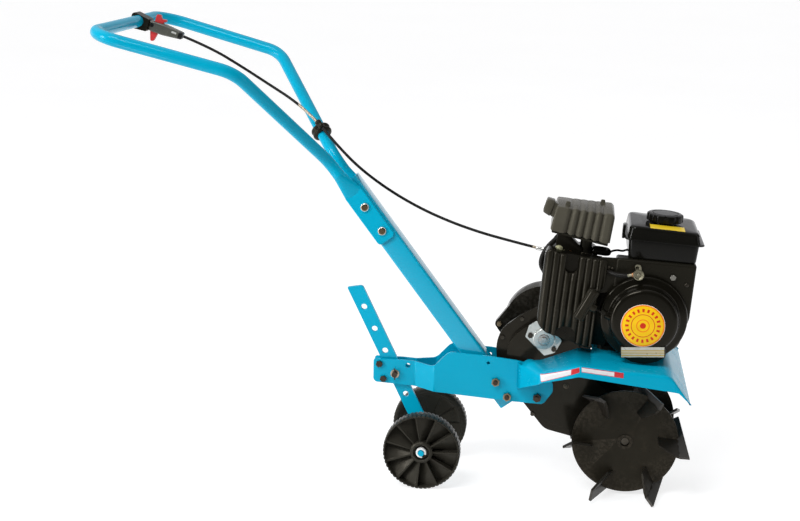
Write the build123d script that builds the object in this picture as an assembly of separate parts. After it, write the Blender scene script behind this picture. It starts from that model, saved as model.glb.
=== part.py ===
from build123d import *
import math
import os

os.makedirs("parts", exist_ok=True)

# ---------------------------------------------------------------- dimensions (mm)
# Layout frame: +X forward, +Y to the machine's left, +Z up, ground at Z = 0.
SHIFT_X = 477.15         # moves the layout so the origin is at the box's bottom centre

# tube frame
TUBE_R = 12.7            # 1 inch handle tube
TUBE_WALL = 1.8
HANDLE_BEND = (-791.0, 224.0, 892.0)
HANDLE_CORNER = (-1070.0, 254.0, 969.0)
MAST_W = 45.0            # square mast tube
MAST_WALL = 3.0
MAST_ANG = 53.8          # slope of the mast, degrees
MAST_MID = (-432.1, 412.5)
MAST_TOP = 290.0         # along the mast from MAST_MID
MAST_LOW = -299.0
FLAT_W = 43.0            # flattened handle end
FLAT_N = -3.0            # its offset across the mast
FLAT_T = 6.4
HANDLE_BOLT_T = (225.0, 163.0)
HANDLE_KNEE_T = 345.0    # where the arms leave the line of the mast

# chassis side plates
PLATE_T = 4.0
TAIL_Y = 12.5            # outer face at the tail
BODY_Y = 36.0            # outer face at the body
MAST_BOLTS = ((-284.4, 223.3), (-259.6, 191.3))
NOSE_BOLT = (-196.0, 191.4)
TAIL_BOLTS = ((-537.4, 246.9), (-528.8, 213.7))
FREE_HOLE = (-475.4, 244.6)
FREE_HOLE_R = 5.5

# depth bar and transport wheels
WHEEL_R = 82.0
WHEEL_W = 32.0
WHEEL_Y = 107.0          # outer face
AXLE_R = 6.0
AXLE_XZ = (-436.37, 82.0)
BAR_W = 30.0
BAR_T = 8.0
BAR_ANG = 64.93          # slope of the bar, degrees
BAR_PITCH = 53.4
BAR_HOLE_R = 6.5
PIN_R = 6.0

# tines
TINE_XZ = (-9.6, 118.0)
TINE_SHAFT_R = 10.0
DISC_R = 111.0
DISC_Y = 83.0
DISC_T = 4.0
BLADE_T = 5.0
BLADE_SKEW = 21.0
TIP_R = 130.2
TIP_TURN = -4.0          # the rotor stands turned by this much
TIP_Y = 150.0

# chain case
CASE_HALF = 20.0
CASE_WALL = 2.5
INPUT_XZ = (-184.0, 318.0)
IDLER_XZ = (-128.0, 192.0)
CHAIN_PITCH = 12.7
TEETH_IN, TEETH_MID, TEETH_OUT, TEETH_TINE = 9, 22, 10, 16
SHAFT_R = 8.5

# engine
TILT = 4.5               # nose-down lean of deck and engine, degrees
ENG_XZ = (15.0, 398.0)   # engine frame origin
CRANK = (3.0, -5.0)      # crank axis in the engine frame
DECK_Z = -94.7           # deck top in the engine frame
ENGINE_FEET = ((-70.0, -48.0), (-70.0, 50.0), (50.0, -51.7), (50.0, 66.0))

# belt drive
BELT_Y = 106.0
PULLEY_R = 75.0
DRUM_PULLEY_R = 33.0
COVER_R_IN = 91.0
COVER_R_CRANK = 50.0
COVER_Y0, COVER_Y1 = 74.0, 128.0

# control lever on the crossbar
CTRL_Y = 90.0
CTRL_ANG = 18.9

# ---------------------------------------------------------------- helpers
NODES = {}


def put(name, *shapes):
    solids = []
    for s in shapes:
        solids += list(s.solids())
    NODES.setdefault(name, []).extend(solids)


def corner_edges(pts, f):
    """Closed outline with rounded corners. pts are (u, v, r); f maps (u, v) to 3-D."""
    n = len(pts)
    ends = []
    for i in range(n):
        ux, uy = pts[i - 1][0], pts[i - 1][1]
        px, py, r = pts[i] if len(pts[i]) == 3 else (*pts[i], 0.0)
        wx, wy = pts[(i + 1) % n][0], pts[(i + 1) % n][1]
        ax, ay = ux - px, uy - py
        bx, by = wx - px, wy - py
        la, lb = math.hypot(ax, ay), math.hypot(bx, by)
        ax, ay, bx, by = ax / la, ay / la, bx / lb, by / lb
        inner = math.acos(max(-1, min(1, ax * bx + ay * by)))
        if r <= 0 or inner > math.radians(179.5):
            ends.append(((px, py), None, (px, py)))
            continue
        d = r / math.tan(inner / 2)
        d = min(d, 0.48 * la, 0.48 * lb)
        r = d * math.tan(inner / 2)
        cx, cy = ax + bx, ay + by
        lc = math.hypot(cx, cy)
        h = r / math.sin(inner / 2)
        ox, oy = px + cx / lc * h, py + cy / lc * h
        mx, my = ox - cx / lc * r, oy - cy / lc * r
        ends.append(((px + ax * d, py + ay * d), (mx, my), (px + bx * d, py + by * d)))
    edges = []
    for i in range(n):
        a, m, b = ends[i]
        if m is not None:
            edges.append(Edge.make_three_point_arc(f(*a), f(*m), f(*b)))
        c = ends[(i + 1) % n][0]
        if math.hypot(c[0] - b[0], c[1] - b[1]) > 1e-6:
            edges.append(Edge.make_line(f(*b), f(*c)))
    return edges


def face_of(edges):
    return Face(Wire(edges))


def prism_y(pts, y0, y1):
    fc = face_of(corner_edges(pts, lambda u, v: Vector(u, y0, v)))
    return extrude(fc, amount=y1 - y0, dir=(0, 1, 0))


def prism_z(pts, z0, z1):
    fc = face_of(corner_edges(pts, lambda u, v: Vector(u, v, z0)))
    return extrude(fc, amount=z1 - z0, dir=(0, 0, 1))


def prism_x(pts, x0, x1):
    fc = face_of(corner_edges(pts, lambda u, v: Vector(x0, u, v)))
    return extrude(fc, amount=x1 - x0, dir=(1, 0, 0))


def inset_y(pts, d, y0, y1):
    fc = face_of(corner_edges(pts, lambda u, v: Vector(u, y0, v)))
    fc = offset(Sketch() + fc, amount=-d, kind=Kind.INTERSECTION)
    return extrude(fc, amount=y1 - y0, dir=(0, 1, 0))


def cyl(xz, y0, y1, r):
    return Pos(xz[0], (y0 + y1) / 2, xz[1]) * Rot(90, 0, 0) * Cylinder(r, abs(y1 - y0))


def ring(xz, y0, y1, ro, ri):
    return cyl(xz, y0, y1, ro) - cyl(xz, min(y0, y1) - 1, max(y0, y1) + 1, ri)


def hexa(xz, y0, y1, flats, turn=0.0):
    r = flats / math.sqrt(3)
    pts = [(xz[0] + r * math.cos(math.radians(60 * k + turn)),
            xz[1] + r * math.sin(math.radians(60 * k + turn)), 0) for k in range(6)]
    return prism_y(pts, y0, y1)


def box(x0, x1, y0, y1, z0, z1):
    return Pos((x0 + x1) / 2, (y0 + y1) / 2, (z0 + z1) / 2) * Box(x1 - x0, y1 - y0, z1 - z0)


def mirror_y(s):
    return mirror(s, about=Plane.XZ)


def two_circles(c1, r1, c2, r2, f):
    """Edges of the belt-shaped outline round two circles."""
    dx, dz = c2[0] - c1[0], c2[1] - c1[1]
    d = math.hypot(dx, dz)
    phi = math.atan2(dz, dx)
    al = math.acos((r1 - r2) / d)

    def p(c, r, a):
        return f(c[0] + r * math.cos(a), c[1] + r * math.sin(a))
    return [
        Edge.make_three_point_arc(p(c1, r1, phi + al), p(c1, r1, phi + math.pi), p(c1, r1, phi - al)),
        Edge.make_line(p(c1, r1, phi - al), p(c2, r2, phi - al)),
        Edge.make_three_point_arc(p(c2, r2, phi - al), p(c2, r2, phi), p(c2, r2, phi + al)),
        Edge.make_line(p(c2, r2, phi + al), p(c1, r1, phi + al)),
    ]


def loop_prism(c1, r1, c2, r2, y0, y1):
    fc = face_of(two_circles(c1, r1, c2, r2, lambda x, z: Vector(x, y0, z)))
    return extrude(fc, amount=y1 - y0, dir=(0, 1, 0))


def soft(s, edges, *radii):
    """Round the given edges with the first radius that the solid accepts."""
    for r in radii:
        try:
            t = fillet(edges, r)
            if t.is_valid and t.volume > 0:
                return t
        except Exception:
            pass
    print("left sharp", [round(v, 1) for v in s.bounding_box().size])
    return s


def revolve_y(pts, xz):
    """Solid of revolution about the Y line through xz. pts are (radius, y)."""
    es = corner_edges([(p[0], p[1], p[2] if len(p) == 3 else 0) for p in pts],
                      lambda u, v: Vector(u, v, 0))
    s = revolve(face_of(es), Axis.Y, 360)
    return Pos(xz[0], 0, xz[1]) * s


def along(a, b, r):
    a, b = Vector(*a), Vector(*b)
    pl = Plane(origin=a, z_dir=b - a)
    return extrude(pl * Circle(r), amount=(b - a).length)


ENG = Pos(ENG_XZ[0], 0, ENG_XZ[1]) * Rot(0, TILT, 0)


def eng_xz(x, z):
    c, s = math.cos(math.radians(TILT)), math.sin(math.radians(TILT))
    return (ENG_XZ[0] + c * x + s * z, ENG_XZ[1] - s * x + c * z)


CRANK_XZ = eng_xz(*CRANK)
MDX, MDZ = math.cos(math.radians(MAST_ANG)), -math.sin(math.radians(MAST_ANG))


def on_mast(t, y=0.0, n=0.0):
    return (MAST_MID[0] - MDX * t - MDZ * n, y, MAST_MID[1] - MDZ * t + MDX * n)


# ---------------------------------------------------------------- mast
L = MAST_TOP - MAST_LOW
mast = Pos(*on_mast((MAST_TOP + MAST_LOW) / 2)) * Rot(0, MAST_ANG, 0) * (
    Box(L, MAST_W, MAST_W) - Box(L + 4, MAST_W - 2 * MAST_WALL, MAST_W - 2 * MAST_WALL))
for t in HANDLE_BOLT_T:
    p = on_mast(t)
    mast -= cyl((p[0], p[2]), -40, 40, 4.2)
for b in MAST_BOLTS:
    mast -= cyl(b, -40, 40, 5.2)
put("mast_tube", mast)

# ---------------------------------------------------------------- handlebar
hb, hc = HANDLE_BEND, HANDLE_CORNER
HY = MAST_W / 2 + 0.2 + TUBE_R
route = [on_mast(310, -HY, FLAT_N), on_mast(HANDLE_KNEE_T, -HY, FLAT_N), (hb[0], -hb[1], hb[2]), (hc[0], -hc[1], hc[2]),
         (hc[0], hc[1], hc[2]), hb, on_mast(HANDLE_KNEE_T, HY, FLAT_N), on_mast(310, HY, FLAT_N)]
path = FilletPolyline(*[Vector(*p) for p in route], radius=[75, 70, 55, 55, 70, 75])
sec = Plane(origin=path @ 0, z_dir=path % 0) * (Circle(TUBE_R) - Circle(TUBE_R - TUBE_WALL))
bar = sweep(sec, path=path)
FY = MAST_W / 2 + 0.2 + FLAT_T / 2
down = Vector(MDX, 0, MDZ)
norm = Vector(-MDZ, 0, MDX)
for sgn in (-1, 1):
    p0 = Plane(origin=on_mast(310, sgn * HY, FLAT_N), x_dir=norm, z_dir=down)
    p1 = Plane(origin=on_mast(258, sgn * FY, FLAT_N), x_dir=norm, z_dir=down)
    bar += loft([(p0 * Circle(TUBE_R)).face(), (p1 * Ellipse(FLAT_W / 2, FLAT_T / 2)).face()])
    y0, y1 = sorted((sgn * (FY - FLAT_T / 2), sgn * (FY + FLAT_T / 2)))
    n0, n1 = FLAT_N - FLAT_W / 2, FLAT_N + FLAT_W / 2
    es = corner_edges([(262, n0, 0), (262, n1, 0), (139, n1, 9), (139, n0, 9)],
                      lambda t, n: Vector(on_mast(t, y0, n)))
    flat = extrude(face_of(es), amount=y1 - y0, dir=(0, 1, 0))
    flat = soft(flat, flat.edges().filter_by(lambda e: abs(e.length - 114) < 12), 3.0, 2.5)
    for t in HANDLE_BOLT_T:
        p = on_mast(t)
        flat -= cyl((p[0], p[2]), -60, 60, 4.2)
    bar += flat
put("handlebar", bar)

# domed bolts through the flattened ends and the mast
for t in HANDLE_BOLT_T:
    p = on_mast(t)
    xz = (p[0], p[2])
    yf = FY + FLAT_T / 2
    head = cyl(xz, -yf - 5, -yf, 9.5)
    head = soft(head, head.edges().filter_by(GeomType.CIRCLE).group_by(Axis.Y)[0], 4.0, 3.0)
    put("frame_bolts", head + cyl(xz, -yf - 1, yf + 11, 4.0))
    nut = hexa(xz, yf, yf + 6.5, 13) - cyl(xz, 0, 80, 4.0)
    put("frame_bolts", nut)

# ---------------------------------------------------------------- side plates
PLATE_OUT = [(-550, 258, 5), (-487, 257, 20), (-418, 251.5, 18), (-385, 286, 22), (-300, 279.5, 0),
             (-239, 272, 20), (-196, 262, 20), (-163, 224, 12), (-163, 205, 14), (-183, 176.5, 14),
             (-252, 180.5, 0), (-423, 196, 0), (-470, 200, 0), (-551, 206, 10)]
a = math.atan2(BODY_Y - TAIL_Y, 43.0)
off = PLATE_T * math.tan(a / 2)
strip = [(-580, -TAIL_Y, 0), (-460, -TAIL_Y, 12), (-417, -BODY_Y, 8), (-100, -BODY_Y, 0),
         (-100, -BODY_Y + PLATE_T, 0), (-417 + off, -BODY_Y + PLATE_T, 12), (-460 + off, -TAIL_Y + PLATE_T, 8),
         (-580, -TAIL_Y + PLATE_T, 0)]
plate = prism_z(strip, 100, 400) & prism_y(PLATE_OUT, -60, 0)
for b in MAST_BOLTS + (NOSE_BOLT,):
    plate -= cyl(b, -60, 0, 5.2)
for b in TAIL_BOLTS:
    plate -= cyl(b, -60, 0, 4.2)
BAR_DIR = (math.cos(math.radians(BAR_ANG)), -math.sin(math.radians(BAR_ANG)))
S_AXLE = 158.44
PIN_XZ = (AXLE_XZ[0] - BAR_DIR[0] * S_AXLE, AXLE_XZ[1] - BAR_DIR[1] * S_AXLE)
plate -= cyl(PIN_XZ, -60, 0, PIN_R + 0.15)
plate -= cyl(FREE_HOLE, -60, 0, FREE_HOLE_R)
plate -= cyl((-300.5, 264.0), -60, 0, 3.5)
put("side_plate_right", plate)
put("side_plate_left", mirror_y(plate))

# through bolts: nuts on the right-hand side, heads on the left
for b in MAST_BOLTS + (NOSE_BOLT,):
    put("frame_bolts", cyl(b, -BODY_Y - 12, BODY_Y, 5.0) + hexa(b, BODY_Y, BODY_Y + 6.5, 16, 10))
    put("frame_bolts", hexa(b, -BODY_Y - 8, -BODY_Y, 16, 20) - cyl(b, -80, 0, 5.0))
for b in TAIL_BOLTS:
    h = hexa(b, -TAIL_Y - 5.5, -TAIL_Y, 13, 15)
    put("frame_bolts", cyl(b, -TAIL_Y - 1, TAIL_Y + 10, 4.0) + h)
    put("frame_bolts", hexa(b, TAIL_Y, TAIL_Y + 6.5, 13, 5) - cyl(b, 0, 60, 4.0))
inner = BODY_Y - PLATE_T
for b in MAST_BOLTS:
    for s in (-1, 1):
        y0, y1 = sorted((s * MAST_W / 2, s * inner))
        put("chassis_spacers", ring(b, y0, y1, 9.0, 5.1))
for s in (-1, 1):
    y0, y1 = sorted((s * CASE_HALF, s * inner))
    put("chassis_spacers", ring(NOSE_BOLT, y0, y1, 10.0, 5.1))
for b in TAIL_BOLTS:
    put("chassis_spacers", ring(b, -TAIL_Y + PLATE_T, TAIL_Y - PLATE_T, 5.6, 4.1))

# ---------------------------------------------------------------- depth bar, pin, wheels


def on_bar(s, n=0.0):
    return (PIN_XZ[0] + BAR_DIR[0] * s - BAR_DIR[1] * n, PIN_XZ[1] + BAR_DIR[1] * s + BAR_DIR[0] * n)


es = corner_edges([(-214, -BAR_W / 2, 2), (-204.5, BAR_W / 2 + 2.5, 8), (S_AXLE + 16, BAR_W / 2 + 2.5, 15), (S_AXLE + 16, -BAR_W / 2, 15)],
                  lambda s, n: Vector(on_bar(s, n)[0], -BAR_T / 2, on_bar(s, n)[1]))
depth = extrude(face_of(es), amount=BAR_T, dir=(0, 1, 0))
for k in (-3, -2, -1, 0, 1):
    depth -= cyl(on_bar(k * BAR_PITCH), -20, 20, BAR_HOLE_R)
depth -= cyl(AXLE_XZ, -20, 20, 8.0)
put("depth_bar", depth)

pin = cyl(PIN_XZ, -TAIL_Y - 11, TAIL_Y, PIN_R) + cyl(PIN_XZ, TAIL_Y, TAIL_Y + 5, 9.0)
pin -= Pos(PIN_XZ[0], -TAIL_Y - 6.5, PIN_XZ[1]) * Cylinder(1.6, 40)
put("depth_pin", pin)
put("depth_pin", ring(PIN_XZ, -TAIL_Y - 2.2, -TAIL_Y, 9.5, PIN_R + 0.05))
clip = Pos(PIN_XZ[0], -TAIL_Y - 6.5, PIN_XZ[1] + 1) * Cylinder(1.5, 26)
put("depth_pin", clip)

axle = cyl(AXLE_XZ, -74, 74, 8.0) + cyl(AXLE_XZ, -WHEEL_Y - 5, WHEEL_Y + 5, AXLE_R)
put("wheel_axle", axle)


def wheel(side):
    yi, yo = WHEEL_Y - WHEEL_W, WHEEL_Y
    w = revolve_y([(AXLE_R + 0.06, yi), (20, yi, 2), (22, yi + 7, 3), (70, yi + 7, 3), (73, yi, 1), (WHEEL_R - 2, yi, 2), (WHEEL_R, yi + 3, 2),
                   (WHEEL_R, yo - 3, 2), (WHEEL_R - 2, yo, 2), (73, yo, 1), (71, yo - 3, 1), (27, yo - 3, 2), (24, yo, 1), (21, yo, 1),
                   (19, yo - 8, 1), (AXLE_R + 0.06, yo - 8)], AXLE_XZ)
    for k in range(11):
        a0 = math.radians(360 / 11 * k)
        h = math.radians(360 / 22 - 3.6)
        pk = []
        for r, s in ((29, -1), (29, 1), (69, 1), (69, -1)):
            aa = a0 + s * h * (0.72 if r < 40 else 1.0)
            pk.append((AXLE_XZ[0] + r * math.cos(aa), AXLE_XZ[1] + r * math.sin(aa), 2.5))
        w -= prism_y(pk, yo - 14, yo + 2)
    return w if side > 0 else mirror_y(w)


put("wheel_right", wheel(-1))
put("wheel_left", wheel(1))
for s in (-1, 1):
    y0, y1 = sorted((s * (WHEEL_Y - 7.4), s * (WHEEL_Y + 1.5)))
    put("wheel_retainers", ring(AXLE_XZ, y0, y1, 12.5, AXLE_R))

# ---------------------------------------------------------------- engine deck (pressed guard over the tines)
TT = math.tan(math.radians(TILT))
FRONT_X = 72.0
PEAK = (-112.0, 313.0)
prof = [(-262, 281, 0), (-190, 283, 60), (PEAK[0], PEAK[1], 40), (FRONT_X, PEAK[1] - (FRONT_X - PEAK[0]) * TT, 26),
        (113, 240, 0), (88, 264, 8), (-112, 290.5, 30), (-186, 265, 20), (-240, 208, 0), (-262, 208, 0)]
plan = [(-239, -38.2, 0), (-188, -164, 26), (-120, -193, 40), (140, -194, 0), (140, 194, 0), (-120, 193, 40), (-188, 164, 26), (-239, 38.2, 0)]
skin = prism_y(prof, -230, 230) & prism_z(plan, 100, 420)
DT = 2.0
prof_i = [(-300, 281 - DT, 0), (-190, 283 - DT, 60), (PEAK[0], PEAK[1] - DT, 38), (FRONT_X - 1.2, PEAK[1] - DT - (FRONT_X - PEAK[0]) * TT, 24),
          (134.2, 206.0, 0), (134.2, 150, 0), (-300, 150, 0)]
plan_i = [(-300, -36.1, 0), (-238, -36.1, 0), (-187, -162, 25), (-120, -191, 38), (150, -192, 0), (150, 192, 0), (-120, 191, 38), (-187, 162, 25),
          (-238, 36.1, 0), (-300, 36.1, 0)]
core = prism_y(prof_i, -240, 240) & prism_z(plan_i, 100, 420)
deck = skin - core
deck -= box(-400, -84, -62, 62, 268, 400)
deck -= box(-400, -12, 20, 134, 120, 420)
for ex, ey in ENGINE_FEET:
    deck -= ENG * Pos(ex, ey, DECK_Z) * Cylinder(4.2, 30)
deck = max(deck.solids(), key=lambda s: s.volume)
put("engine_deck", deck)

# ---------------------------------------------------------------- chain case
FLANGE = [(-285, 262, 35), (-286.3, 301, 90), (-274, 333, 90), (-238, 361.5, 120), (-194, 385, 25), (-150, 366, 40), (-98, 322, 45), (-68, 250, 60),
          (-10, 198, 50), (48, 168, 40), (53, 86, 44), (-6, 54, 46), (-100, 90, 40), (-180, 110, 35), (-226, 168, 30)]
PAN = [(-262, 268, 25), (-262, 295, 60), (-251, 318, 60), (-228, 338, 60), (-192, 360, 26), (-152, 346, 35), (-112, 308, 40), (-84, 238, 50),
       (-22, 180, 45), (30, 154, 32), (36, 98, 38), (-6, 71, 36), (-95, 105, 35), (-170, 130, 30), (-210, 176, 35)]
FLANGE_HOLES = [(-273, 313), (-232, 355), (-206, 143), (-104, 100), (-112, 323), (44, 120), (10, 182)]


def case_half(s):
    y = s * CASE_HALF
    a0, a1 = sorted((0, s * 3))
    b0, b1 = sorted((0, y))
    c0, c1 = sorted((-s * 2, s * (CASE_HALF - CASE_WALL)))
    h = prism_y(FLANGE, a0, a1) + prism_y(PAN, b0, b1)
    h -= inset_y(PAN, CASE_WALL, c0, c1)
    for q in FLANGE_HOLES:
        h -= cyl(q, -10, 10, 2.6)
    # boss for the bolt that joins the case to the side plates
    d0, d1 = sorted((0, y))
    h += cyl(NOSE_BOLT, d0, d1, 10.0)
    h -= cyl(NOSE_BOLT, -60, 60, 5.2)
    # tine shaft bearing cup
    e0, e1 = sorted((s * (CASE_HALF - CASE_WALL), s * 32))
    h += cyl(TINE_XZ, e0, e1, 22.0)
    f0, f1 = sorted((s * 10, s * 30.5))
    h -= cyl(TINE_XZ, f0, f1, 18.0)
    h -= cyl(TINE_XZ, -60, 60, 11.5)
    # pocket that carries the idler pin
    g0, g1 = sorted((s * 16.8, s * (CASE_HALF - 1)))
    h += cyl(IDLER_XZ, g0, g1, 13.0)
    return h


right = case_half(-1)
right -= cyl(INPUT_XZ, -30, -10, 20.0)
put("chain_case_right", right)
left = case_half(1)
left += cyl(INPUT_XZ, CASE_HALF - CASE_WALL, 34, 24.0)
left -= cyl(INPUT_XZ, 10, 32, 20.0)
left -= cyl(INPUT_XZ, 10, 60, 12.0)
left += cyl(IDLER_XZ, -16.6, 18, 7.5)
put("chain_case_left", left)
for q in FLANGE_HOLES:
    put("machine_screws", cyl(q, -3, 6.5, 2.5) + hexa(q, -7, -3, 8, 12))
    put("machine_screws", hexa(q, 3, 6.2, 8) - cyl(q, 0, 20, 2.5))

# bearing flange on the near side, with its two bolts
FL = [(-224, 322, 4), (-216, 347, 10), (-199, 358, 8), (-146, 316, 6), (-161, 288, 10), (-183, 281, 4)]
fl = prism_y(FL, -CASE_HALF - 4, -CASE_HALF) + cyl(INPUT_XZ, -CASE_HALF - 12.5, -CASE_HALF, 23.5)
fl = soft(fl, fl.edges().filter_by(GeomType.CIRCLE).group_by(Axis.Y)[0], 2.5, 1.5)
fl -= cyl(INPUT_XZ, -CASE_HALF - 11, -CASE_HALF + 1, 20.0)
fl -= cyl(INPUT_XZ, -CASE_HALF - 20, -CASE_HALF + 1, 13.0)
for q in ((-213, 325), (-163, 296.5)):
    fl -= cyl(q, -40, 0, 3.1)
    put("machine_screws", cyl(q, -CASE_HALF - 4, -CASE_HALF, 3.0) + hexa(q, -CASE_HALF - 8.5, -CASE_HALF - 4, 10, 12))
put("bearing_flange", fl)

# ball bearings, drawn as plain rings
put("shaft_bearings", ring(INPUT_XZ, -CASE_HALF - 11, -CASE_HALF, 20.0, SHAFT_R + 0.05))
put("shaft_bearings", ring(INPUT_XZ, CASE_HALF, 32, 20.0, SHAFT_R + 0.05))
for s in (-1, 1):
    y0, y1 = sorted((s * CASE_HALF, s * 30.5))
    put("shaft_bearings", ring(TINE_XZ, y0, y1, 18.0, TINE_SHAFT_R + 0.05))


def pitch_r(n):
    return CHAIN_PITCH / 2 / math.sin(math.pi / n)


def sprocket(xz, n, y0, y1, bore):
    pr = pitch_r(n)
    ro, rr = pr + 3.2, pr - 4.0
    pts = []
    for k in range(n):
        for da, r in ((-0.30, rr), (-0.10, ro), (0.10, ro), (0.30, rr)):
            aa = 2 * math.pi * (k + da) / n
            pts.append((xz[0] + r * math.cos(aa), xz[1] + r * math.sin(aa), 0))
    s = prism_y(pts, y0, y1)
    return s - cyl(xz, y0 - 1, y1 + 1, bore) if bore else s


def chain(c1, n1, c2, n2, y):
    """Closed loop of roller chain: side plates either side of the teeth, rollers bridging outside them."""
    r1, r2 = pitch_r(n1), pitch_r(n2)
    c = loop_prism(c1, r1 + 5.2, c2, r2 + 5.2, y - 5.6, y + 5.6) - loop_prism(c1, r1 - 4.4, c2, r2 - 4.4, y - 9, y + 9)
    return c - loop_prism(c1, r1 + 3.8, c2, r2 + 3.8, y - 3.3, y + 3.3)


Y1, Y2 = 9.0, -9.0
js = cyl(INPUT_XZ, -CASE_HALF - 11, 118, SHAFT_R) + sprocket(INPUT_XZ, TEETH_IN, Y1 - 2.8, Y1 + 2.8, 0)
js += cyl(INPUT_XZ, -CASE_HALF - 14, -CASE_HALF - 11, 11.0)
js += hexa(INPUT_XZ, -CASE_HALF - 19, -CASE_HALF - 14, 13, 8)
js += cyl(INPUT_XZ, 116, 121, 11.0)
put("input_shaft", js)
put("drive_chains", chain(INPUT_XZ, TEETH_IN, IDLER_XZ, TEETH_MID, Y1))
put("drive_chains", chain(IDLER_XZ, TEETH_OUT, TINE_XZ, TEETH_TINE, Y2))
idl = ring(IDLER_XZ, -16.2, 16.2, 12.0, 7.56)
idl += sprocket(IDLER_XZ, TEETH_MID, Y1 - 2.8, Y1 + 2.8, 10) + sprocket(IDLER_XZ, TEETH_OUT, Y2 - 2.8, Y2 + 2.8, 10)
put("idler_sprockets", idl)
tine_wheel = sprocket(TINE_XZ, TEETH_TINE, Y2 - 2.8, Y2 + 2.8, TINE_SHAFT_R - 1) + ring(TINE_XZ, -14, 0, 17, TINE_SHAFT_R - 1)

# ---------------------------------------------------------------- tine rotor
put("tine_shaft", cyl(TINE_XZ, -78.5, 78.5, TINE_SHAFT_R) + tine_wheel)
# each blade is a plate through a slot of its disc, its outer strip folded back; u runs across the machine from the disc, v is radial
HY0 = TIP_Y - DISC_Y
HIN = DISC_Y - 25.0
cs, sn = math.cos(math.radians(BLADE_SKEW)), math.sin(math.radians(BLADE_SKEW))
tip_t = HY0 * math.tan(math.radians(BLADE_SKEW))
TIP_V = math.sqrt((TIP_R - 0.4) ** 2 - tip_t ** 2)
blade_pts = [(-HY0 / cs, TIP_V, 0), (HIN / cs, 117.0, 3), (HIN / cs, 92, 4), (12, 68, 5), (-26, 68, 8), (-HY0 / cs + 17, 97, 4), (-HY0 / cs + 12.5, 109.5, 3)]
es = corner_edges(blade_pts, lambda u, v: Vector(u, v, -30))
outline = extrude(face_of(es), amount=60, dir=(0, 0, 1))
FOLD = [(60.0, -5.4), (110.0, 5.6), (140.0, -7.5)]
f1, f2 = math.atan2(FOLD[1][1] - FOLD[0][1], FOLD[1][0] - FOLD[0][0]), math.atan2(FOLD[2][1] - FOLD[1][1], FOLD[2][0] - FOLD[1][0])
fm, fh = (f1 + f2) / 2, BLADE_T / 2 / math.cos((f1 - f2) / 2)


def fold_side(k):
    return [(FOLD[0][0] - k * BLADE_T / 2 * math.sin(f1), FOLD[0][1] + k * BLADE_T / 2 * math.cos(f1)), (FOLD[1][0] - k * fh * math.sin(fm), FOLD[1][1] + k * fh * math.cos(fm)),
            (FOLD[2][0] - k * BLADE_T / 2 * math.sin(f2), FOLD[2][1] + k * BLADE_T / 2 * math.cos(f2))]


folded = [(v, w, 0) for v, w in fold_side(1) + list(reversed(fold_side(-1)))]
es = corner_edges(folded, lambda v, w: Vector(-HY0 / cs - 5, v, w))
flatblade = extrude(face_of(es), amount=(HY0 + HIN) / cs + 10, dir=(1, -0.064, 0)) & outline
flatblade = max(flatblade.solids(), key=lambda q: q.volume)
tip_ang = math.degrees(math.atan2(tip_t, TIP_V))


def blade(k):
    """Blade k of the right-hand drum; its outer tip stands at -60k degrees, plus TIP_TURN."""
    ang = math.radians(-60 * k + tip_ang + TIP_TURN)
    er = Vector(math.cos(ang), 0, math.sin(ang))
    et = Vector(-math.sin(ang), 0, math.cos(ang))
    ux = Vector(0, cs, 0) + et * sn
    pl = Plane(origin=Vector(TINE_XZ[0], -DISC_Y, TINE_XZ[1]), x_dir=ux, z_dir=ux.cross(er))
    return pl * flatblade


blades_r = [blade(k) for k in range(6)]
disc = cyl(TINE_XZ, -DISC_Y - DISC_T / 2, -DISC_Y + DISC_T / 2, DISC_R)
for b in blades_r:
    disc -= b
disc += cyl(TINE_XZ, -86.5, -34, 16.0)
disc -= cyl(TINE_XZ, -120, 0, TINE_SHAFT_R)
disc -= Pos(TINE_XZ[0], -70, TINE_XZ[1]) * Cylinder(4.1, 60)
disc = max(disc.solids(), key=lambda s: s.volume)
put("tine_disc_right", disc)
put("tine_disc_left", mirror_y(disc))
for b in blades_r:
    put("tine_blades", b)
    put("tine_blades", mirror_y(b))
shaft = NODES["tine_shaft"][0]
for s in (-1, 1):
    hole = Pos(TINE_XZ[0], s * 70, TINE_XZ[1]) * Cylinder(4.1, 60)
    shaft = shaft - hole
    bolt = Pos(TINE_XZ[0], s * 70, TINE_XZ[1]) * (Pos(0, 0, 1) * Cylinder(4.0, 46) + Pos(0, 0, 19.5) * extrude(RegularPolygon(7.5, 6), 6)
                                                 + Pos(0, 0, -23) * extrude(RegularPolygon(7.5, 6), 6))
    put("tine_bolts", bolt)
    y0, y1 = sorted((s * 97, s * 99))
    put("tine_bolts", cyl(TINE_XZ, *sorted((s * 78.5, s * 82.5)), 8.0))
NODES["tine_shaft"] = list(shaft.solids())

# ---------------------------------------------------------------- belt drive
VB = 6.5


def vpulley(xz, r_out, y, half, groove):
    w = half
    tw = groove
    bw = groove - 11.5 * math.tan(math.radians(18))
    return revolve_y([(0.01, y - w), (r_out, y - w), (r_out, y - tw), (r_out - 11.5, y - bw), (r_out - 11.5, y + bw), (r_out, y + tw),
                      (r_out, y + w), (0.01, y + w)], xz)


pul = vpulley(INPUT_XZ, PULLEY_R, BELT_Y, 9.5, 7.2)
pul -= ring(INPUT_XZ, BELT_Y - 12, BELT_Y - 3, 58, 20) + ring(INPUT_XZ, BELT_Y + 3, BELT_Y + 12, 58, 20)
for k in range(5):
    pul -= cyl((INPUT_XZ[0] + 39 * math.cos(1.2566 * k), INPUT_XZ[1] + 39 * math.sin(1.2566 * k)), BELT_Y - 12, BELT_Y + 12, 12)
pul -= cyl(INPUT_XZ, 80, 130, SHAFT_R)
put("driven_pulley", pul)

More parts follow.
